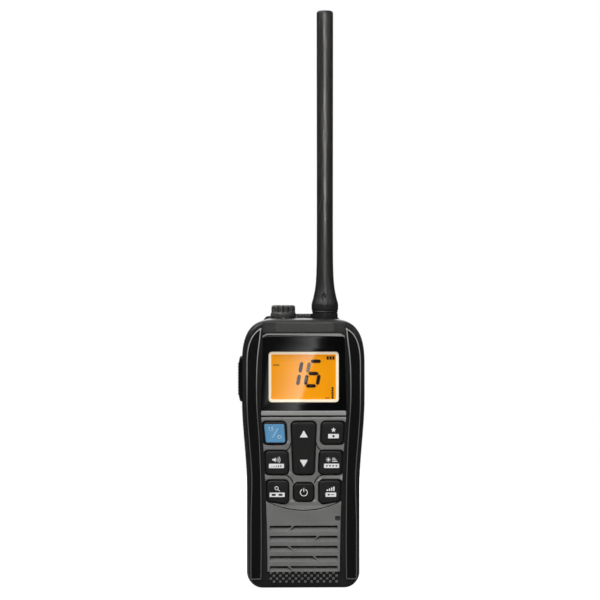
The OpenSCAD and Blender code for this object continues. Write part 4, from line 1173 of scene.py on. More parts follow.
class RADIO_OT_rails(bpy.types.Operator):
    """Builds the two satin grip rails"""

    bl_idname = "radio.rails"
    bl_label = "Grip rails"

    def execute(self, context):
        c, p = context.scene.radio_casing, context.scene.radio_panels
        for side, node in ((1, "rail_right"), (-1, "rail_left")):
            low, high = node_box(node)
            loop = [(side * x, z) for x, z in self.loop(c, p, low.z)]
            bevel = 0.42
            grip = slab([loop], high.y, low.y + 0.12, bevel, steps=4)
            build(node + "_grip", *grip, rail_maker(c), slot="rail", replaces=(node,), sharp=40)
            turned = loop if area(loop) > 0 else loop[::-1]
            piping = inset(turned, bevel)
            # a raised lip along the rail's edge whose pale colour is a painted highlight
            build(node + "_piping", *ribbon(piping + piping[:1], 0.5, low.y + 0.2, low.y),
                  ("piping_satin", piping_satin), slot="rail", sharp=60)
        return {"FINISHED"}

    @staticmethod
    def loop(c, p, foot):
        """The right-hand rail seen from the front: up its outer edge and down its inner one."""
        drop, cap_half, side_in = 3.3, 20.6, 2.1
        a, b = c.shoulder_run - side_in, c.height - c.shoulder_height - drop
        end = math.acos(((cap_half + 0.6 - c.hip_width / 2 + c.shoulder_run) / a) ** 1.5)
        side_steps, shoulder_steps, power = 31, 21, 2 / 3
        outer = []
        for i in range(side_steps):
            z = foot + (c.shoulder_height - foot) * i / side_steps
            toe = 0.6 * (1 - ease((z - c.waist_height + 20) / 30))
            outer.append((half_width(c, z) - side_in + toe, z))
        for i in range(shoulder_steps + 1):
            t = end * i / shoulder_steps
            outer.append((c.hip_width / 2 - c.shoulder_run + a * max(0, math.cos(t)) ** power,
                          c.shoulder_height + b * math.sin(t) ** power))
        line = smooth_rows([
            (cap_half + 0.6, p.window_high + 3.6), (cap_half + 1.0, p.window_high - 0.8),
            (c.hip_width / 2 - side_in - 5.9, c.shoulder_height + 3),
            (c.hip_width / 2 - side_in - 5.7, c.hip_height - 2),
            (panel_half(p, 74) + 1.5, 74), (panel_half(p, 52) + 1.9, 52), (panel_half(p, 24) + 2.6, 24),
            (panel_half(p, foot) + 3, foot),
        ], 5)
        return rounded_ends(outer + line)


def rounded_ends(loop):
    """Softens a loop's few sharp corners and leaves its smooth stretches."""
    sharp, longest_cut, steps = math.radians(35), 0.7, 4
    out = []
    n = len(loop)
    for i, p in enumerate(loop):
        a = Vector(p) - Vector(loop[i - 1])
        b = Vector(loop[(i + 1) % n]) - Vector(p)
        if a.length > 1e-6 and b.length > 1e-6 and a.angle(b) > sharp:
            cut = min(longest_cut, a.length * 0.4, b.length * 0.4)
            start, end = Vector(p) - a.normalized() * cut, Vector(p) + b.normalized() * cut
            for s in range(steps + 1):
                t = s / steps
                q = start * (1 - t) ** 2 + Vector(p) * 2 * t * (1 - t) + end * t * t
                out.append((q.x, q.y))
        else:
            out.append(p)
    return out


class RADIO_OT_top(bpy.types.Operator):
    """Builds the dark top plate and the light trim strip"""

    bl_idname = "radio.top"
    bl_label = "Top plate and trim"

    def execute(self, context):
        p = context.scene.radio_panels
        low, high = node_box("top_plate")
        plate = slab([framed(low, high, 0, 0.6)], high.y, PANEL_Y, 0.25)
        dark = moulded(p.top_colour, grain=0.3, depth=0.016, rough=0.42, contrast=0.18, specular=0.35)
        build("top_plate_cover", *plate, ("top_plastic", dark), slot="top_panel", replaces=("top_plate",))
        field = slab([soft_box(-14.2, low.z + 0.5, 15.3, high.z - 0.3, 1.1)], PANEL_Y + 0.1, low.y + 0.06, 0.16)
        pale = moulded(scaled(p.top_colour, 1.7), grain=0.3, depth=0.02, rough=0.4, contrast=0.2, specular=0.4)
        build("top_plate_field", *joined(field, self.dots(low, high)), ("top_field", pale), slot="top_panel")
        low, high = node_box("window_trim")
        steps, end_run = 24, 3.2
        upper, lower = [], []
        for i in range(steps + 1):
            x = low.x + (high.x - low.x) * i / steps
            fall = max(0.0, abs(x) - high.x + end_run) / end_run
            upper.append((x, high.z - 0.25 - 1.2 * fall ** 2.4))
            lower.append((x, high.z - 1.05 - 1.25 * fall ** 2.4))
        trim = ("trim_plastic", moulded(p.trim_colour, grain=0.2, depth=0.006, rough=0.32, contrast=0.1))
        build("window_trim_strip", *slab([lower + upper[::-1]], high.y, low.y, 0.4, 4), trim, slot="trim",
              replaces=("window_trim",))
        return {"FINISHED"}

    @staticmethod
    def dots(low, high):
        """A small raised dotted field at the right end of the plate."""
        parts = []
        pitch_x, pitch_z, last_x = 0.74, 0.64, 15.0
        for i in range(5):
            for j in range(7):
                x, z = 11.7 + i * pitch_x + (j % 2) * pitch_x / 2, low.z + 1.1 + j * pitch_z
                if z < high.z - 0.6 and x < last_x:
                    parts.append(slab([circle(x, z, 0.26, 8)], low.y + 0.1, low.y - 0.06, 0.08, 1))
        return joined(*parts)


class RADIO_OT_window(bpy.types.Operator):
    """Builds the glossy window, the display's border, its glass and its digits"""

    bl_idname = "radio.window"
    bl_label = "Window and display"

    def execute(self, context):
        d = context.scene.radio_display
        low, high = node_box("lens")
        lcd_low, lcd_high = node_box("lcd_frame")
        shape = [
            (low.x, low.z), (high.x, low.z), (high.x - 1.0, high.z - 1.0), (high.x - 2.9, high.z),
            (low.x + 2.9, high.z), (low.x + 1.0, high.z - 1.0),
        ]
        hole = framed(lcd_low, lcd_high, 0, d.corner)
        build("window_black", *slab([rounded(shape, 0.5, 4), hole], high.y, low.y, 0.16, 3),
              ("window_gloss", gloss_black), slot="lens", replaces=("lens",))
        gap = 0.02
        pane = framed(lcd_low, lcd_high, -gap, d.corner - gap)
        build("window_pane", *slab([pane], low.y + 0.5, low.y + 0.01, 0.01, 1), ("window_clear", clear_pane),
              slot="lens")
        inside = framed(lcd_low, lcd_high, -d.border, 0.7)
        build("display_border", *slab([hole, inside], lcd_high.y, lcd_low.y, 0.08, 2),
              ("border_print", ink(d.border_colour, 0.4, 0.7)), slot="display_frame", replaces=("lcd_frame",))
        dress(("display_amber", lit_amber(d)), "lcd_glass")
        dress(("light_guide", ink((0.75, 0.72, 0.6))), "backlight")
        self.digits(lcd_low, lcd_high)
        return {"FINISHED"}

    @staticmethod
    def digits(low, high):
        """Dark liquid-crystal segments: a plain channel number, a battery gauge and a signal bar."""
        front = node_box("lcd_glass")[0].y
        mid_x, mid_z = (low.x + high.x) / 2 + 0.4, (low.z + high.z) / 2 + 1.65
        lean, width, gap = 0.19, 1.8, 0.35
        strong, weak = [], []

        def stamp(loop, group):
            group.append(slab([loop], front, front - 0.05, 0.01, 1))

        def bar(x0, z0, x1, z1, group):
            """A segment with pointed ends from one point to another."""
            a, b = Vector((x0, z0)), Vector((x1, z1))
            u = Vector((x1 - x0, z1 - z0)).normalized()
            side = Vector((-u.y, u.x)) * width / 2
            tip = u * width * 0.45
            stamp([tuple(q) for q in (a, a + tip + side, b - tip + side, b, b - tip - side, a + tip - side)], group)

        def at(x, z):
            return mid_x + x + z * lean, mid_z + z

        top, middle, bottom = 6.2, 0.0, -6.2
        one, left, right = -2.3, 1.5, 7.6
        segments = (
            (one, middle + gap, one, top - 0.2, strong), (one, bottom + 0.2, one, middle - gap, strong),
            (left + gap, top, right - 0.3, top, strong), (left, middle + gap, left, top - gap, weak),
            (left + gap, middle, right - gap, middle, strong), (left, bottom + gap, left, middle - gap, strong),
            (right, bottom + gap, right, middle - gap, strong), (left + gap, bottom, right - gap, bottom, strong),
        )
        for x0, z0, x1, z1, group in segments:
            bar(*at(x0, z0), *at(x1, z1), group)
        for i in range(3):
            x = high.x - 6.0 + i * 1.45
            stamp(box_loop(x, high.z - 4.0, x + 1.15, high.z - 2.3), strong)
        for i in range(5):
            z = low.z + 1.7 + i * 1.2
            stamp(box_loop(high.x - 3.5, z, high.x - 2.5, z + 1.0), strong)
        for i in range(5):
            x = low.x + 2.4 + i * 0.62
            stamp(box_loop(x, mid_z + 3.9, x + 0.42, mid_z + 4.7), weak)
        for i in range(3):
            x = high.x - 6.6 + i * 0.75
            stamp(box_loop(x, low.z + 1.7, x + 0.5, low.z + 2.3), weak)
        build("display_digits", *joined(*strong), ("crystal_dark", ink((0.016, 0.004, 0.002), 0.5)),
              slot="display_frame")
        build("display_faint_marks", *joined(*weak), ("crystal_faint", ink((0.17, 0.062, 0.006), 0.5)),
              slot="display_frame")


class RADIO_OT_keypad(bpy.types.Operator):
    """Builds the keypad frame with its webs"""

    bl_idname = "radio.keypad"
    bl_label = "Keypad frame"

    def execute(self, context):
        p, k = context.scene.radio_panels, context.scene.radio_keys
        low, high = node_box("keypad_frame")
        bar_z, groove = 86.9, 0.8
        reach = 0.9
        lefts, rights = zip(*SIDE_KEYS)
        body = raw("frame_work", *slab([self.edge(p, bar_z - groove)], high.y, PANEL_Y + 0.1, 0.02, 1))
        for node, quad in wells(p, k).items():
            grown = [list(q) for q in quad]
            if node in lefts:
                grown[0][0] -= reach
                grown[3][0] -= reach
            elif node in rights:
                grown[1][0] += reach
                grown[2][0] += reach
            loop = rounded([tuple(q) for q in grown], k.corner)
            carve(body, raw("well", *flared(loop, high.y + 1, PANEL_Y + 0.1, 0.6)))
        for path in self.grooves():
            for side in (1, -1):
                run = [(side * x, z) for x, z in path]
                carve(body, raw("groove", *flared(band(run, 0.55), high.y + 1, PANEL_Y + 0.1, 0.2)))
        half = panel_half(p, bar_z)
        bar = slab([soft_box(-half, bar_z, half, p.window_low - 0.15, 0.4, 4)], high.y, low.y, 0.35)
        pale = moulded(scaled(p.colour, 1.75), grain=0.42, depth=0.03, rough=0.4, contrast=0.3)
        build("keypad_surround", *taken(body), panel_maker(p), slot="panel", replaces=("keypad_frame",), sharp=35)
        build("keypad_bar", *bar, ("panel_pale", pale), slot="panel")
        dress(MAT_SILICONE, "keypad_mat")
        return {"FINISHED"}

    @staticmethod
    def grooves():
        """Paths of the grooves that part the rings round the upper and lower side keys."""
        upper = [(-9.4, 69.0), (-8.3, 69.6), (-7.3, 70.6), (-6.7, 71.9), (-6.4, 73.2)]
        lower = [(-9.8, 57.2), (-8.2, 56.7), (-6.9, 55.7), (-5.9, 54.4), (-5.2, 52.9)]
        return upper, lower

    @staticmethod
    def edge(p, top):
        """The frame's outline: straight at the top, and round at the foot where the grille panel begins."""
        side_steps, foot_steps = 14, 24
        end = arc_at(p, panel_half(p, ARC_END_Z))
        half = panel_half(p, end)
        heights = [end + (top - end) * i / side_steps for i in range(side_steps + 1)]
        right = [(panel_half(p, z), z) for z in heights]
        across = [-half + 2 * half * i / foot_steps for i in range(1, foot_steps)]
        return right + [(-x, z) for x, z in reversed(right)] + [(x, arc_at(p, x)) for x in across]


def flared(loop, back, front, flare, steps=5):
    """A cutter that opens out towards the front and so leaves a rounded edge."""
    levels = [(back, 0.0)]
    for s in range(steps + 1):
        t = math.pi / 2 * s / steps
        levels.append((front + flare * (1 - math.sin(t)), -flare * (1 - math.cos(t))))
    levels.append((front - 1.0, -flare - 0.02))
    turned = loop if area(loop) > 0 else loop[::-1]
    return from_rings([[(x, y, z) for x, z in inset(turned, d)] for y, d in levels])


def band(path, width):
    """The outline of a strip of even width that follows a front-view path."""
    left, right = [], []
    for i, q in enumerate(path):
        t = Vector(path[min(i + 1, len(path) - 1)]) - Vector(path[max(i - 1, 0)])
        side = Vector((-t.y, t.x)).normalized() * width / 2
        left.append((q[0] + side.x, q[1] + side.y))
        right.append((q[0] - side.x, q[1] - side.y))
    return left + right[::-1]


def ribbon(path, width, back, front):
    """A raised lip with a rounded top along a front-view path that ends at its first point."""
    section = [(-1.0, 0.0), (-0.86, 0.62), (-0.5, 0.93), (0.0, 1.0), (0.5, 0.93), (0.86, 0.62), (1.0, 0.0)]
    rings = []
    n = len(path) - 1
    for i, (x, z) in enumerate(path[:n]):
        before, after = path[i - 1], path[(i + 1) % n]
        t = Vector((after[0] - before[0], after[1] - before[1]))
        t = t.normalized() if t.length > TINY else Vector((1, 0))
        side = Vector((-t.y, t.x)) * width / 2
        rings.append([(x + side.x * a, back + (front - back) * h, z + side.y * a) for a, h in section])
    return from_closed_rings(rings)


class RADIO_OT_keys(bpy.types.Operator):
    """Builds the eight rubber keys and their plain printed marks"""

    bl_idname = "radio.keys"
    bl_label = "Keys"

    def execute(self, context):
        p, k = context.scene.radio_panels, context.scene.radio_keys
        maker = ("key_rubber", rubber(k.colour, rough=0.42, grain=0.22, depth=0.006, specular=0.25))
        rocker_gap = 0.5
        for node, quad in wells(p, k).items():
            low, high = node_box(node)
            top = low.y
            body = body_of_key(node)
            loop = inset(rounded(quad, k.corner), rocker_gap if node == "key_rocker" else k.gap)
            parts = [self.cap(loop, high.y, top, k.fillet, node)]
            if node == "key_rocker":
                parts.append(self.rocker_marks(top))
            slot = "key_blue" if node == "key_blue" else "key"
            build(node + "_cap", *joined(*parts), maker, body=body, slot=slot, replaces=(node,), sharp=50)
            self.prints(node, quad, top, body, k)
        dress(DOME_STEEL, "key_domes")
        dress(GREEN_BOARD, "key_board")
        return {"FINISHED"}

    @staticmethod
    def cap(loop, back, top, fillet, node):
        """A pillow-topped key; all but the rocker have a flange behind the casing wall."""
        flange, thick, pillow, steps = 0.85, 0.6, 0.12, 5
        levels = [(back, -flange), (back - thick, -flange), (back - thick, 0.0)]
        if node == "key_rocker":
            levels = [(INNER_Y - 0.7, 0.0)]
        levels.append((top + fillet + pillow, 0.0))
        for s in range(1, steps + 1):
            t = math.pi / 2 * s / steps
            levels.append((top + pillow + fillet * (1 - math.sin(t)), fillet * (1 - math.cos(t))))
        levels += [(top + 0.06, fillet + 0.7), (top + 0.02, fillet + 1.6)]
        rings = [[(x, y, z) for x, z in inset(loop, d)] for y, d in levels]
        points = [q for ring in rings for q in ring]
        faces = skin(rings)
        n = len(loop)
        mid = [sum(q[i] for q in rings[-1]) / n for i in range(3)]
        points.append((mid[0], top, mid[2]))
        last = (len(rings) - 1) * n
        faces += [(last + i, last + (i + 1) % n, len(points) - 1) for i in range(n)]
        faces.append(tuple(range(n))[::-1])
        return points, faces

    @staticmethod
    def rocker_marks(top):
        """Two thin raised lines across the rocker's middle."""
        mid = (ROCKER["low"] + ROCKER["high"]) / 2
        return joined(*[
            slab([soft_box(-3.8, z - 0.12, 3.8, z + 0.12, 0.1, 2)], top + 0.2, top - 0.04, 0.05, 2)
            for z in (mid - 0.9, mid + 0.9)
        ])

    def prints(self, node, quad, top, body, k):
        """White marks in plain generic shapes, one design for each key."""
        x, z = (sum(q[i] for q in quad) / 4 for i in (0, 1))
        white = printed_white(k)
        y = top
        marks = []

        def mark(loops):
            marks.append(slab(loops, y + 0.1, y - 0.03, 0.01, 1))

        if node == "key_rocker":
            for tip, flat in ((z + 9.0, z + 5.4), (z - 9.4, z - 5.8)):
                mark([rounded([(-2.05, flat), (2.05, flat), (0, tip)] if tip > flat
                              else [(0, tip), (2.05, flat), (-2.05, flat)], 0.18, 3)])
        elif node == "key_power":
            mark([self.arc_band(x, z - 0.1, 1.75, 0.42, 118, 422)])
            mark([soft_box(x - 0.22, z + 0.1, x + 0.22, z + 2.1, 0.15, 3)])
        elif node == "key_blue":
            self.blue_face(quad, top, body, k)
            white = ("print_pale_blue", ink((0.42, 0.62, 0.78), 0.45))
            y -= 0.16
            self.blue_marks(mark, x, z)
        else:
            self.boxed(node, mark, x, z)
        build(node + "_print", *joined(*marks), white, body=body, slot="key", sharp=60)

    @staticmethod
    def arc_band(x, z, r, width, start, end, steps=28):
        """A bent strip of even width."""
        return arc(x, z, r + width / 2, start, end, steps) + arc(x, z, r - width / 2, start, end, steps)[::-1]

    @staticmethod
    def blue_face(quad, top, body, k):
        """The raised blue field on the blue key."""
        face = [
            (quad[0][0] + 1.1, quad[0][1] + 1.25), (quad[1][0] - 1.2, quad[1][1] + 1.25),
            (quad[2][0] - 1.3, quad[2][1] - 1.6), (quad[3][0] + 0.9, quad[3][1] - 1.6),
        ]
        blue = ("blue_rubber", rubber(k.blue, rough=0.36, grain=0.25, depth=0.004, specular=0.3))
        build("key_blue_face", *slab([rounded(face, 0.7, 5)], top + 0.4, top - 0.12, 0.2, 3), blue, body=body,
              slot="key_blue")

    def blue_marks(self, mark, x, z):
        """A plain channel number, a slash and a small ring."""
        def bar(x0, z0, x1, z1, w=0.38):
            u = Vector((x1 - x0, z1 - z0)).normalized()
            s = Vector((-u.y, u.x)) * w / 2
            mark([[(x0 - s.x, z0 - s.y), (x1 - s.x, z1 - s.y), (x1 + s.x, z1 + s.y), (x0 + s.x, z0 + s.y)]])

        bar(x - 2.9, z + 1.0, x - 2.9, z + 3.1)
        bar(x - 3.4, z + 2.6, x - 2.9, z + 3.1)
        mark([circle(x - 1.5, z + 1.6, 0.72, 20), circle(x - 1.5, z + 1.6, 0.36, 16)])
        bar(x - 2.05, z + 1.75, x - 1.35, z + 3.15)
        bar(x - 1.35, z - 2.3, x + 1.45, z + 2.3, 0.42)
        mark([circle(x + 2.2, z - 2.0, 1.0, 24), circle(x + 2.2, z - 2.0, 0.6, 20)])

    def boxed(self, node, mark, x, z):
        """A small picture above and a white plate with cut-outs below."""
        x += 0.5 if x > 0 else -0.3
        up, down = z + 1.5, z - 1.6
        wide = 2.7 if node in ("key_favourite", "key_level") else 3.8
        plate = soft_box(x - wide, down - 1.1, x + wide, down + 1.1, 0.3, 3)
        if node == "key_favourite":
            mark([[(x + r * math.cos(a), up + r * math.sin(a)) for a, r in
                   ((math.pi / 2 + math.pi * i / 5, 1.35 if i % 2 == 0 else 0.6) for i in range(10))]])
            mark([plate, circle(x, down, 0.6, 16)])
        elif node == "key_volume":
            mark([[(x - 2.0, up - 0.4), (x - 1.25, up - 0.4), (x - 0.35, up - 1.15), (x - 0.35, up + 1.15),
                   (x - 1.25, up + 0.4), (x - 2.0, up + 0.4)]])
            for reach in (0.85, 1.6, 2.35):
                mark([self.arc_band(x - 0.5, up, reach, 0.3, -42, 42, 12)])
            mark([plate] + [box_loop(x - 2.6 + i * 1.15, down - 0.55, x - 2.1 + i * 1.15, down - 0.3 + i * 0.2)
                            for i in range(5)])
        elif node == "key_weather":
            sun = x - 1.6
            mark([circle(sun, up, 0.62, 18)])
            for i in range(8):
                u, v = math.cos(math.pi / 4 * i), math.sin(math.pi / 4 * i)
                mark([[(sun + u * near - v * side, up + v * near + u * side) for near, side in
                       ((0.85, -0.12), (1.25, -0.12), (1.25, 0.12), (0.85, 0.12))]])
            for i in range(3):
                mark([soft_box(x + 0.3, up - 1.05 + i * 0.8, x + 3.0 - i * 0.6, up - 0.7 + i * 0.8, 0.12, 2)])
            mark([plate] + [circle(x - 2.4 + i * 1.6, down, 0.42, 12) for i in range(4)])
        elif node == "key_scan":
            mark([circle(x - 0.3, up + 0.25, 1.0, 24), circle(x - 0.3, up + 0.25, 0.64, 20)])
            mark([[(x + 0.3, up - 0.6), (x + 0.55, up - 0.35), (x + 1.5, up - 1.15), (x + 1.25, up - 1.4)]])
            mark([plate] + [soft_box(x + a, down - 0.5, x + a + 2.0, down + 0.5, 0.2, 2) for a in (-2.7, 0.7)])
        else:
            for i in range(4):
                a = x - 2.1 + i * 1.1
                mark([soft_box(a, up - 1.2, a + 0.7, up - 0.5 + i * 0.5, 0.1, 2)])
            mark([plate, circle(x - 1.1, down, 0.5, 14), box_loop(x - 0.2, down - 0.16, x + 1.7, down + 0.16)])


class RADIO_OT_grille(bpy.types.Operator):
    """Builds the speaker grille panel with its slots, ribs and studs"""

    bl_idname = "radio.grille"
    bl_label = "Grille"

    def execute(self, context):
        p, g = context.scene.radio_panels, context.scene.radio_grille
        low, high = node_box("grille_panel")
        edge, holes, floors = self.edge(p, self.stud_top(g)), [], []
        for row in range(g.slots):
            for loop in self.slot_loops(g, row):
                holes.append(rounded(loop, 0.35, 4))
                floors.append(self.louvre(loop, high.y))
        x, z = MICROPHONE
        holes.append(soft_box(x - 1.2, z - 1.1, x + 1.2, z + 1.1, 0.3, 4))
        plate = slab([edge] + holes, high.y, PANEL_Y, 0.28, 4)
        build("grille_plate", *plate, panel_maker(p), slot="panel", replaces=("grille_panel",), sharp=28)
        # painted shade: the slot floors take half the panel colour for the shade inside the slots; the studs use the
        # same darker colour
        shade = ("panel_shade", moulded(scaled(p.colour, 0.5), grain=0.42, depth=0.03, rough=0.5, contrast=0.4))
        build("grille_louvres", *joined(*floors), shade, slot="panel")
        build("grille_studs", *self.studs(p, g, low.z), shade, slot="panel", sharp=30)
        # painted shade: the field under the studs is black where the panel plastic lies in shade
        field = slab([self.field(p, g, low.z)], high.y, FACE_Y - 0.3, 0.2, 2)
        build("grille_foot_painted_shade", *field, casing_maker(context.scene.radio_casing), slot="panel")
        port = slab([soft_box(x - 1.15, z - 1.05, x + 1.15, z + 1.05, 0.3, 4)], high.y, PANEL_Y + 0.9, 0.05, 1)
        build("microphone_port", *port, MAT_SILICONE, slot="panel")
        dress(("membrane_mesh", woven_mesh), "grille_membrane")
        return {"FINISHED"}

    @staticmethod
    def field(p, g, foot):
        """The field under the slots, which the studs stand on; its black casing finish is painted shade between the
        studs.
        """
        top = RADIO_OT_grille.stud_top(g) - 0.05
        return rounded(both_sides([(panel_half(p, foot), foot), (panel_half(p, top), top)]), 0.6, 4)

    @staticmethod
    def edge(p, foot):
        """The panel's outline, round at the top where the keypad frame begins."""
        gap, side_steps, top_steps = 0.5, 12, 24
        end = arc_at(p, panel_half(p, ARC_END_Z)) - gap
        half = panel_half(p, end)
        heights = [foot + (end - foot) * i / side_steps for i in range(side_steps + 1)]
        right = [(panel_half(p, z), z) for z in heights]
        across = [half - 2 * half * i / top_steps for i in range(1, top_steps)]
        return right + [(x, arc_at(p, x) - gap) for x in across] + [(-x, z) for x, z in reversed(right)]

    @staticmethod
    def slot_loops(g, row):
        """The two openings of a slot, on either side of its diagonal rib."""
        z = g.top - row * g.pitch
        lean = 1.3 if row < 2 else -1.3
        rib = -6.4 if row % 2 == 0 else 6.2
        h, w, half = g.slot_height / 2, g.rib / 2, g.slot_width / 2
        return (
            [(-half, z - h), (rib - lean - w, z - h), (rib + lean - w, z + h), (-half, z + h)],
            [(rib - lean + w, z - h), (half, z - h), (half, z + h), (rib + lean + w, z + h)],
        )

    @staticmethod
    def louvre(loop, back):
        """A sloping floor inside a slot: deep under its upper edge and shallow at its lower edge."""
        z0, z1 = loop[0][1], loop[2][1]
        shallow, deep, cover = PANEL_Y + 0.2, back - 0.1, 0.66
        points = []
        for thick in (0.0, 0.1):
            for x, z in loop:
                t = (z - z0) / (z1 - z0)
                points.append((x, shallow + (deep - shallow) * t + thick, z0 + (z1 - z0) * cover * t))
        return points, [(0, 1, 2, 3), (7, 6, 5, 4), (0, 4, 5, 1), (1, 5, 6, 2), (2, 6, 7, 3), (3, 7, 4, 0)]

    @staticmethod
    def stud_top(g):
        """Height of the lowest slot's lower edge, less a narrow bar."""
        return g.top - g.pitch * (g.slots - 1) - g.slot_height / 2 - 0.15

    def studs(self, p, g, foot):
        """A chequer of small blunt pyramids over the black field, whose black is painted shade."""
        cell, groove = g.knurl_cell, 0.16
        z0 = foot + 0.55
        pitch = (self.stud_top(g) - z0) / g.knurl_rows
        columns = int((p.foot_half - 0.5) / cell)
        parts = []
        for row in range(g.knurl_rows):
            z = z0 + row * pitch
            for i in range(-columns, columns):
                if (i + row) % 2:
                    continue
                loop = box_loop(i * cell + groove, z + groove, (i + 1) * cell - groove, z + pitch - groove)
                parts.append(slab([loop], FACE_Y - 0.02, PANEL_Y + 0.1, 0.42, 2))
        return joined(*parts)


class RADIO_OT_talk_key(bpy.types.Operator):
    """Builds the ribbed push-to-talk key"""

    bl_idname = "radio.talk_key"
    bl_label = "Talk key"

    def execute(self, context):
        c = context.scene.radio_casing
        low, high = node_box("ptt_key")
        y0, y1, z0, z1 = low.y + 0.9, high.y - 0.9, low.z + 0.9, high.z - 0.9
        x_out, x_in = low.x + 0.3, high.x
        skin_rows = [
            (x_in - 0.6, 0.0, 0.0), (-c.hip_width / 2 + 0.1, 0.0, 0.0), (x_out + 0.9, 0.12, 0.35),
            (x_out + 0.45, 0.3, 1.7), (x_out + 0.15, 0.65, 3.2), (x_out, 1.2, 5.2),
        ]
        rings = []
        for x, side, end in smooth_rows(skin_rows, 4):
            loop = soft_box(y0 + side, z0 + end, y1 - side, z1 - end, 1.5)
            rings.append([(x, y, z) for y, z in loop])
        flange = slab([soft_box(low.y, low.z, high.y, high.z, 1.0)], x_in, x_in - 0.6, 0.1, 2)
        parts = [from_rings(rings), side_on(flange)]
        mid, bead_pitch = (z0 + z1) / 2, 1.5
        for i in range(-5, 6):
            z = mid + i * bead_pitch
            bead = soft_box(y0 + 1.3, z - 0.42, y1 - 1.3, z + 0.42, 0.4, 5)
            parts.append(side_on(slab([bead], x_out + 0.4, low.x, 0.3, 4)))
        build("talk_key_pad", *joined(*parts), rail_maker(c), body="talk_key", slot="rail", replaces=("ptt_key",),
              sharp=45)
        return {"FINISHED"}


class RADIO_OT_knob(bpy.types.Operator):
    """Builds the fluted knob"""

    bl_idname = "radio.knob"
    bl_label = "Knob"

    def execute(self, context):
        s = context.scene.radio_controls
        low, high = node_box("knob_cap")
        x, y, _ = centre_of("knob_cap")
        skirt, head = (high.x - low.x) / 2, (high.x - low.x) / 2 - 0.3
        z0, z1 = low.z, high.z
        skirt_top = z0 + 2.2
        rows = [
            (5.1, z0), (skirt - 0.25, z0), (skirt, z0 + 0.3), (skirt, skirt_top - 0.2), (skirt - 0.1, skirt_top),
            (head, skirt_top + 0.35), (head, z1 - 1.0), (head - 0.15, z1 - 0.6), (head - 0.5, z1 - 0.22),
            (head - 1.0, z1 - 0.03), (head - 1.6, z1), (head - 2.2, z1 - 0.03), (head - 2.5, z1 - 0.22),
            (1.0, z1 - 0.3), (0.0, z1 - 0.3),
        ]
        profile = [(max(r, 0.002), z) for r, z in self.denser(rows)]
        flutes, depth = s.flutes, s.flute_depth

        def wave(r, z, a):
            """Flutes in the head's side, which run out at the skirt."""
            if z < skirt_top + 0.15 or r < head - 1.9:
                return r
            rise = ease((z - skirt_top - 0.1) / 0.5)
            valley = abs(math.sin(a * flutes / 2)) ** 0.55
            return r - depth * rise * (1 - valley) * 2.2

        maker = ("knob_plastic", moulded(s.knob_colour, grain=0.2, depth=0.006, rough=0.34, contrast=0.12,
                                         specular=0.4))
        shell = lathe(profile, x, y, steps=flutes * 16, wave=wave)
        build("knob_cap_fluted", *shell, maker, body="knob", slot="knob", replaces=("knob_cap",), sharp=45)
        dot = slab([soft_box(-0.22, 2.6, 0.22, 4.4, 0.2, 4)], 0.0, 0.12, 0.03, 2)
        top = z1 - 0.28
        build("knob_pointer", *turned_to(dot, lambda q: (x + q[0], y - q[2], top + q[1])),
              printed_white(context.scene.radio_keys), body="knob", slot="knob")
        dress(TURNED_STEEL, "encoder_shaft", "encoder_nut")
        dress(PRESSED_STEEL, "encoder_body")
        return {"FINISHED"}

    @staticmethod
    def denser(rows, most=0.45):
        """The rows with more between them, so that no two are further apart than most."""
        out = [rows[0]]
        for a, b in zip(rows, rows[1:]):
            count = max(1, math.ceil(math.dist(a, b) / most))
            for i in range(1, count + 1):
                out.append((a[0] + (b[0] - a[0]) * i / count, a[1] + (b[1] - a[1]) * i / count))
        return out


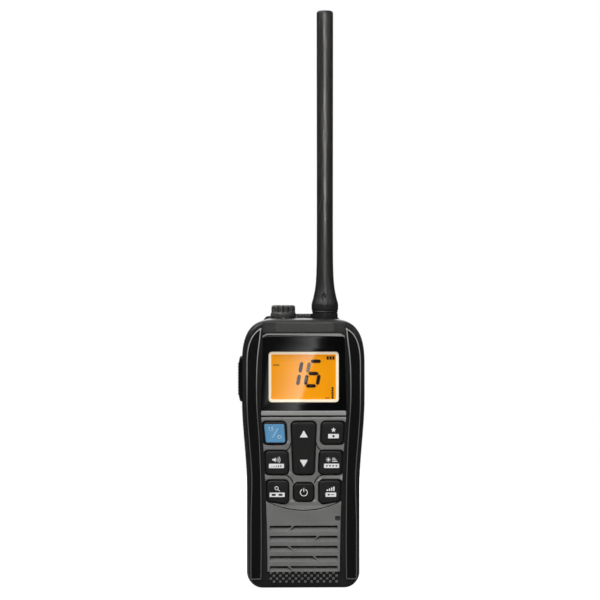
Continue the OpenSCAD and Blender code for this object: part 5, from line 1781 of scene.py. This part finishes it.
class RADIO_OT_antenna(bpy.types.Operator):
    """Builds the rubber antenna, its collar and its plug"""

    bl_idname = "radio.antenna"
    bl_label = "Antenna"

    def execute(self, context):
        s = context.scene.radio_controls
        low, high = node_box("antenna_whip")
        x, y, _ = centre_of("antenna_whip")
        boot, z0, tip = (high.x - low.x) / 2, low.z, high.z
        whip, tip_radius = 4.2, 1.3
        rows = smooth_rows([
            (boot, z0 + 0.7), (boot, z0 + 1.8), (boot - 0.02, z0 + 3.4), (boot - 0.75, z0 + 6.1),
            (boot - 1.3, z0 + 8.6), (boot - 1.8, z0 + 11.2), (whip + 0.35, z0 + 15.5), (whip + 0.12, z0 + 20.5),
            (whip - 0.05, z0 + 30.0), (whip - 0.08, z0 + 60.0), (whip - 0.02, tip - 40), (whip, tip - 8),
            (whip, tip - tip_radius),
        ], 5)
        profile = [(2.9, z0), (boot - 0.3, z0), (boot - 0.08, z0 + 0.15)] + rows
        for i in range(1, 8):
            t = math.pi / 2 * i / 7
            profile.append((whip - tip_radius * (1 - math.cos(t)), tip - tip_radius * (1 - math.sin(t))))
        profile += [(1.2, tip - 0.03), (0.002, tip - 0.03)]

        def wave(r, z, a):
            """A small drop-shaped dimple on the boot's front."""
            aside = math.degrees(math.atan2(math.sin(a + math.pi / 2), math.cos(a + math.pi / 2))) + 8
            rise = (z - z0 - 7.0) / 2.1
            spot = max(0.0, 1 - (aside / (10 - 3 * rise)) ** 2 - rise * rise)
            return r - 0.5 * ease(spot * 1.6)

        maker = ("antenna_rubber", rubber(s.antenna_colour, rough=0.42, grain=0.24, depth=0.003, specular=0.4,
                                          uneven=0.03))
        split = next(i for i, (r, z) in enumerate(profile) if z > z0 + 11)
        dense = RADIO_OT_knob.denser(profile[:split], 0.35) + RADIO_OT_knob.denser(profile[split:], 2.5)
        build("antenna_whip_rubber", *lathe(dense, x, y, 128, wave), maker, body="antenna", slot="antenna",
              replaces=("antenna_whip",), sharp=50)
        low, high = node_box("antenna_collar")
        high.z = z0 - 0.02
        r = (high.x - low.x) / 2
        ring = [(4.2, low.z), (r - 0.2, low.z), (r, low.z + 0.25), (r, high.z - 1.4), (r - 0.35, high.z - 1.25),
                (r - 0.35, high.z - 0.95), (r, high.z - 0.8), (r, high.z - 0.3), (r - 0.25, high.z), (4.2, high.z)]
        build("antenna_collar_ring", *self.tube(ring, x, y), maker, slot="antenna", replaces=("antenna_collar",),
              sharp=40)
        dress(GOLD_PLATE, "antenna_socket", "antenna_plug")
        dress(COPPER_WIRE, "antenna_core")
        return {"FINISHED"}

    @staticmethod
    def tube(profile, x, y, steps=96):
        """Turns a closed section round an upright axis."""
        return from_closed_rings([[(*q, z) for q in circle(x, y, r, steps)] for r, z in profile])


class RADIO_OT_jack(bpy.types.Operator):
    """Builds the audio jack's rubber cover"""

    bl_idname = "radio.jack"
    bl_label = "Audio jack"

    def execute(self, context):
        c = context.scene.radio_casing
        low, high = node_box("jack_cover")
        hinge, face_x = 0.68, high.x
        _, mid_y, mid_z = centre_of("jack_socket")
        flap = slab([soft_box(low.y, low.z, high.y - hinge, high.z, 0.9)], face_x - 0.85, face_x - 0.12, 0.3, 4)
        barrel = lathe([(hinge - 0.15, low.z), (hinge, low.z + 0.15), (hinge, high.z - 0.15), (hinge - 0.15, high.z)],
                       high.x - hinge, high.y - hinge, 32)
        stub = slab([circle(mid_y, mid_z, 2.45)], face_x - 0.8, low.x, 0.3, 3)
        grip = slab([soft_box(low.y + 0.6, mid_z - 2.2, low.y + 1.5, mid_z + 2.2, 0.4)], face_x - 0.3, face_x, 0.2, 3)
        cover = joined(side_on(flap), barrel, side_on(stub), side_on(grip))
        build("jack_cover_flap", *cover, casing_maker(c), body="cover", slot="rail",
              replaces=("jack_cover",), sharp=45)
        dress(BLACK_CHIP, "jack_socket")
        return {"FINISHED"}


class RADIO_OT_battery(bpy.types.Operator):
    """Builds the battery pack, its latch and its contacts"""

    bl_idname = "radio.battery"
    bl_label = "Battery pack"

    def execute(self, context):
        c = context.scene.radio_casing
        low, high = node_box("battery_case")
        maker = ("battery_plastic", moulded(scaled(c.colour, 0.9), grain=0.36, depth=0.028, rough=0.5, contrast=0.16))
        pack = raw("pack_work", *outline_solid(c, smooth_rows([(low.y, 2.15, 0.0)] + BACK_ROWS)))
        cut_out(pack, box_loop(-45, high.z, 45, 160), BACK_Y + 6, 0)
        latch_low, latch_high = node_box("battery_latch")
        cut_out(pack, soft_box(latch_low.x - 0.3, 4.3, latch_high.x + 0.3, 14.4, 0.8), BACK_Y + 4, BACK_Y - 2.2)
        cut_out(pack, box_loop(-4.3, 5.7, 4.3, 11.8), BACK_Y + 1, low.y - 1)
        for side in (-1, 1):
            cut_out(pack, circle(side * 9, 19.5, 1.9, 32), BACK_Y + 2, BACK_Y - 2.4)
        groove_x, groove_half, groove_pitch = 17.2, 3.0, 4.2
        for i in range(7):
            for side in (-1, 1):
                x, z = side * groove_x, 30 + i * groove_pitch
                groove = soft_box(x - groove_half, z, x + groove_half, z + 1.3, 0.6, 5)
                cut_out(pack, groove, BACK_Y + 2, BACK_Y - 0.45, 0.3, 3)
        cut_out(pack, soft_box(-12.5, 26, 12.5, 50, 1.6), BACK_Y + 2, BACK_Y - 0.25, 0.1, 2)
        finished(pack, "battery_case_shell", maker, replaces=("battery_case",))
        bars = [slab([soft_box(side * 24 - 1, 1.6, side * 24 + 1, high.z - 1, 0.9)], low.y, SEAT_Y, 0.01, 1)
                for side in (-1, 1)]
        build("battery_seat_strips", *joined(*bars), SEAT_FOAM, slot="battery")
        dress(maker, "battery_cover")
        dress(CELL_SLEEVE, "battery_cells")
        dress(GOLD_PLATE, "battery_contacts", "radio_contacts")
        self.latch(latch_low, latch_high, maker)
        dress(SPRING_STEEL, "latch_spring")
        return {"FINISHED"}

    @staticmethod
    def latch(low, high, maker):
        """The ribbed slider, with a tongue below and a stem that holds the spring."""
        pad_low, pad_high = 4.6, 11.6
        parts = [slab([soft_box(low.x, pad_low, high.x, pad_high, 0.7)], BACK_Y - 2, BACK_Y - 0.4, 0.3, 3)]
        for i in range(4):
            z = pad_low + 1 + i * 1.5
            parts.append(slab([soft_box(low.x + 2, z, high.x - 2, z + 0.75, 0.35, 4)], BACK_Y - 0.5, BACK_Y, 0.3, 4))
        parts.append(slab([box_loop(-4, low.z, 4, 6.1)], low.y + 1.4, low.y, 0.2, 2))
        stem = raw("stem_work", *slab([box_loop(-4, 6, 4, 9)], BACK_Y - 1.9, low.y, 0.2, 2))
        pocket = lathe([(0.002, 6.3), (1.85, 6.3), (1.85, 12), (0.002, 12)], 0, centre_of("latch_spring")[1], 40)
        carve(stem, raw("pocket", *pocket))
        parts.append(taken(stem))
        build("battery_latch_slider", *joined(*parts), maker, body="latch", slot="battery",
              replaces=("battery_latch",), sharp=40)


class RADIO_OT_clip(bpy.types.Operator):
    """Builds the belt clip with its pin, spring and screws"""

    bl_idname = "radio.clip"
    bl_label = "Belt clip"

    def execute(self, context):
        c = context.scene.radio_casing
        maker = ("clip_plastic", moulded(scaled(c.colour, 0.8), grain=0.26, depth=0.015, rough=0.4, contrast=0.12))
        self.bracket(maker)
        self.arm(maker)
        dress(SPRING_STEEL, "clip_pin")
        self.spring()
        self.screws()
        return {"FINISHED"}

    @staticmethod
    def bracket(maker):
        """The screwed plate and its two ears, which hold the pin."""
        low, high = node_box("clip_bracket")
        _, pin_y, pin_z = centre_of("clip_pin")
        ear, ear_radius, foot_y = 2.4, 3, low.y + 0.6
        plate = raw("plate", *slab([framed(low, high, 0, 2.2)], low.y, low.y + 1.98, 0.45, 4))
        for z in (low.z + 3, high.z - 3.4):
            cut_out(plate, circle(0, z, 2.4), low.y + 1.08, low.y + 5)
        parts = [taken(plate)]
        loop = arc(pin_y, pin_z, ear_radius, -90, 90, 24) + [(foot_y, pin_z + 4.4), (foot_y, pin_z - 4.4)]
        hole = circle(pin_y, pin_z, 1.22, 24)
        for side in (-1, 1):
            x = side * (high.x - ear / 2)
            parts.append(side_on(slab([loop, hole], x - ear / 2, x + ear / 2, 0.35, 3, 0.35)))
        build("clip_bracket_plate", *joined(*parts), maker, slot="battery", replaces=("clip_bracket",), sharp=40)

    @staticmethod
    def arm(maker):
        """The blade with its hook at the foot and its two eyes round the pin."""
        low, high = node_box("clip_arm")
        _, pin_y, pin_z = centre_of("clip_pin")
        inner, outer = 24.2, high.y
        foot, top = low.z, high.z
        steps, neck_z, foot_round = 40, foot + 28, 4.0
        rings = []
        for i in range(steps + 1):
            z = foot + (top - foot) * i / steps
            half = 10.0 if z < neck_z else 10.0 - 0.7 * ease((z - neck_z) / 6)
            end = min(1.0, (z - foot) / foot_round)
            half -= 3.0 * (1 - math.sqrt(max(0.0, 1 - (1 - end) ** 2)))
            rings.append([(x, y, z) for x, y in soft_box(-half, inner, half, outer, 0.55, 4)])
        hook = [
            (inner + 0.2, foot + 0.8), (inner - 1.2, foot + 1.0), (inner - 2.3, foot + 1.7),
            (inner - 2.4, foot + 2.4), (inner - 1.6, foot + 3.0), (inner + 0.2, foot + 4.2),
        ]
        parts = [from_rings(rings), side_on(slab([hook], -6.8, 6.8, 0.2, 2, 0.2))]
        eye, root = 2.0, inner + 0.1
        loop = [(root, pin_z - eye)] + arc(pin_y, pin_z, eye, -90, -270, 20) + [(root, pin_z + eye)]
        hole = circle(pin_y, pin_z, 1.25, 24)
        near, far = 4.05, 12 - 2.4 - 0.3
        for x0, x1 in ((-far, -near), (near, far)):
            parts.append(side_on(slab([loop, hole], x0, x1, 0.2, 2, 0.2)))
        build("clip_arm_blade", *joined(*parts), maker, body="clip", slot="battery", replaces=("clip_arm",), sharp=40)

    @staticmethod
    def spring():
        """A real coil round the pin."""
        low, high = node_box("clip_spring")
        _, y, z = centre_of("clip_spring")
        wire = 0.3
        r = (high.z - low.z) / 2 - wire
        turns, per_turn = 8, 20
        path = []
        for i in range(turns * per_turn + 1):
            a = 2 * math.pi * i / per_turn
            x = low.x + wire + (high.x - low.x - 2 * wire) * i / (turns * per_turn)
            path.append(Vector((x, y + r * math.cos(a), z + r * math.sin(a))))
        build("clip_spring_coil", *wire_tube(path, wire), SPRING_STEEL, slot="steel", replaces=("clip_spring",),
              sharp=60)

    @staticmethod
    def screws():
        """Two cross-head screws."""
        low, high = node_box("clip_screws")
        parts = []
        for z in (low.z + 2.2, high.z - 2.2):
            head = raw("head", *slab([circle(0, z, 2.2, 40)], high.y - 0.8, high.y, 0.25, 4))
            for x_half, z_half in ((1.3, 0.28), (0.28, 1.3)):
                cut_out(head, box_loop(-x_half, z - z_half, x_half, z + z_half), high.y + 1, high.y - 0.5)
            parts += [taken(head), slab([circle(0, z, 1.2, 24)], low.y, high.y - 0.78, 0.1, 1)]
        build("clip_screws_cross", *joined(*parts), SCREW_STEEL, slot="steel", replaces=("clip_screws",), sharp=35)


def wire_tube(path, r, sides=8):
    """A round wire along a path of points."""
    rings = []
    for i, p in enumerate(path):
        t = (path[min(i + 1, len(path) - 1)] - path[max(i - 1, 0)]).normalized()
        u = t.cross(Vector((1, 0.01, 0))).normalized()
        v = t.cross(u)
        turns = [2 * math.pi * k / sides for k in range(sides)]
        rings.append([tuple(p + u * r * math.cos(a) + v * r * math.sin(a)) for a in turns])
    return from_rings(rings)


class RADIO_OT_insides(bpy.types.Operator):
    """Gives the hidden parts their finishes"""

    bl_idname = "radio.insides"
    bl_label = "Inside parts"

    def execute(self, context):
        dress(PRESSED_STEEL, "speaker_frame", "speaker_magnet", "microphone")
        dress(SCREW_STEEL, "case_screws")
        dress(CONE_POLYMER, "speaker_cone")
        dress(CAST_ALLOY, "chassis")
        dress(GREEN_BOARD, "main_board")
        dress(BLACK_CHIP, "board_parts", "ptt_switch")
        dress(TINNED_STEEL, "rf_shields")
        return {"FINISHED"}


class RADIO_PT_panel(bpy.types.Panel):
    """Lists the radio's settings and the operators that build it"""

    bl_label = "Marine radio"
    bl_idname = "RADIO_PT_panel"
    bl_space_type = "VIEW_3D"
    bl_region_type = "UI"
    bl_category = "Radio"

    def draw(self, context):
        for attribute, title in GROUPS:
            box = self.layout.box()
            box.label(text=title)
            group = getattr(context.scene, attribute)
            for name in group.__annotations__:
                box.prop(group, name)
        for operator in OPERATORS:
            self.layout.operator(operator.bl_idname)


SETTINGS = (
    CasingSettings, PanelSettings, DisplaySettings, KeySettings, GrilleSettings, ControlSettings, StageSettings,
)
GROUPS = (
    ("radio_casing", "Casing"), ("radio_panels", "Panels"), ("radio_display", "Display"), ("radio_keys", "Keys"),
    ("radio_grille", "Grille"), ("radio_controls", "Knob and antenna"), ("radio_stage", "Stage"),
)
OPERATORS = (
    RADIO_OT_stage, RADIO_OT_casing, RADIO_OT_rails, RADIO_OT_top, RADIO_OT_window, RADIO_OT_keypad, RADIO_OT_keys,
    RADIO_OT_grille, RADIO_OT_talk_key, RADIO_OT_knob, RADIO_OT_antenna, RADIO_OT_jack, RADIO_OT_battery,
    RADIO_OT_clip, RADIO_OT_insides,
)


def register():
    for cls in SETTINGS + OPERATORS + (RADIO_PT_panel,):
        bpy.utils.register_class(cls)
    for (attribute, _), cls in zip(GROUPS, SETTINGS):
        setattr(bpy.types.Scene, attribute, PointerProperty(type=cls))


def unregister():
    for attribute, _ in GROUPS:
        delattr(bpy.types.Scene, attribute)
    for cls in reversed(SETTINGS + OPERATORS + (RADIO_PT_panel,)):
        bpy.utils.unregister_class(cls)


def main():
    register()
    for operator in OPERATORS:
        group, name = operator.bl_idname.split(".")
        getattr(getattr(bpy.ops, group), name)()


if __name__ == "__main__":
    main()
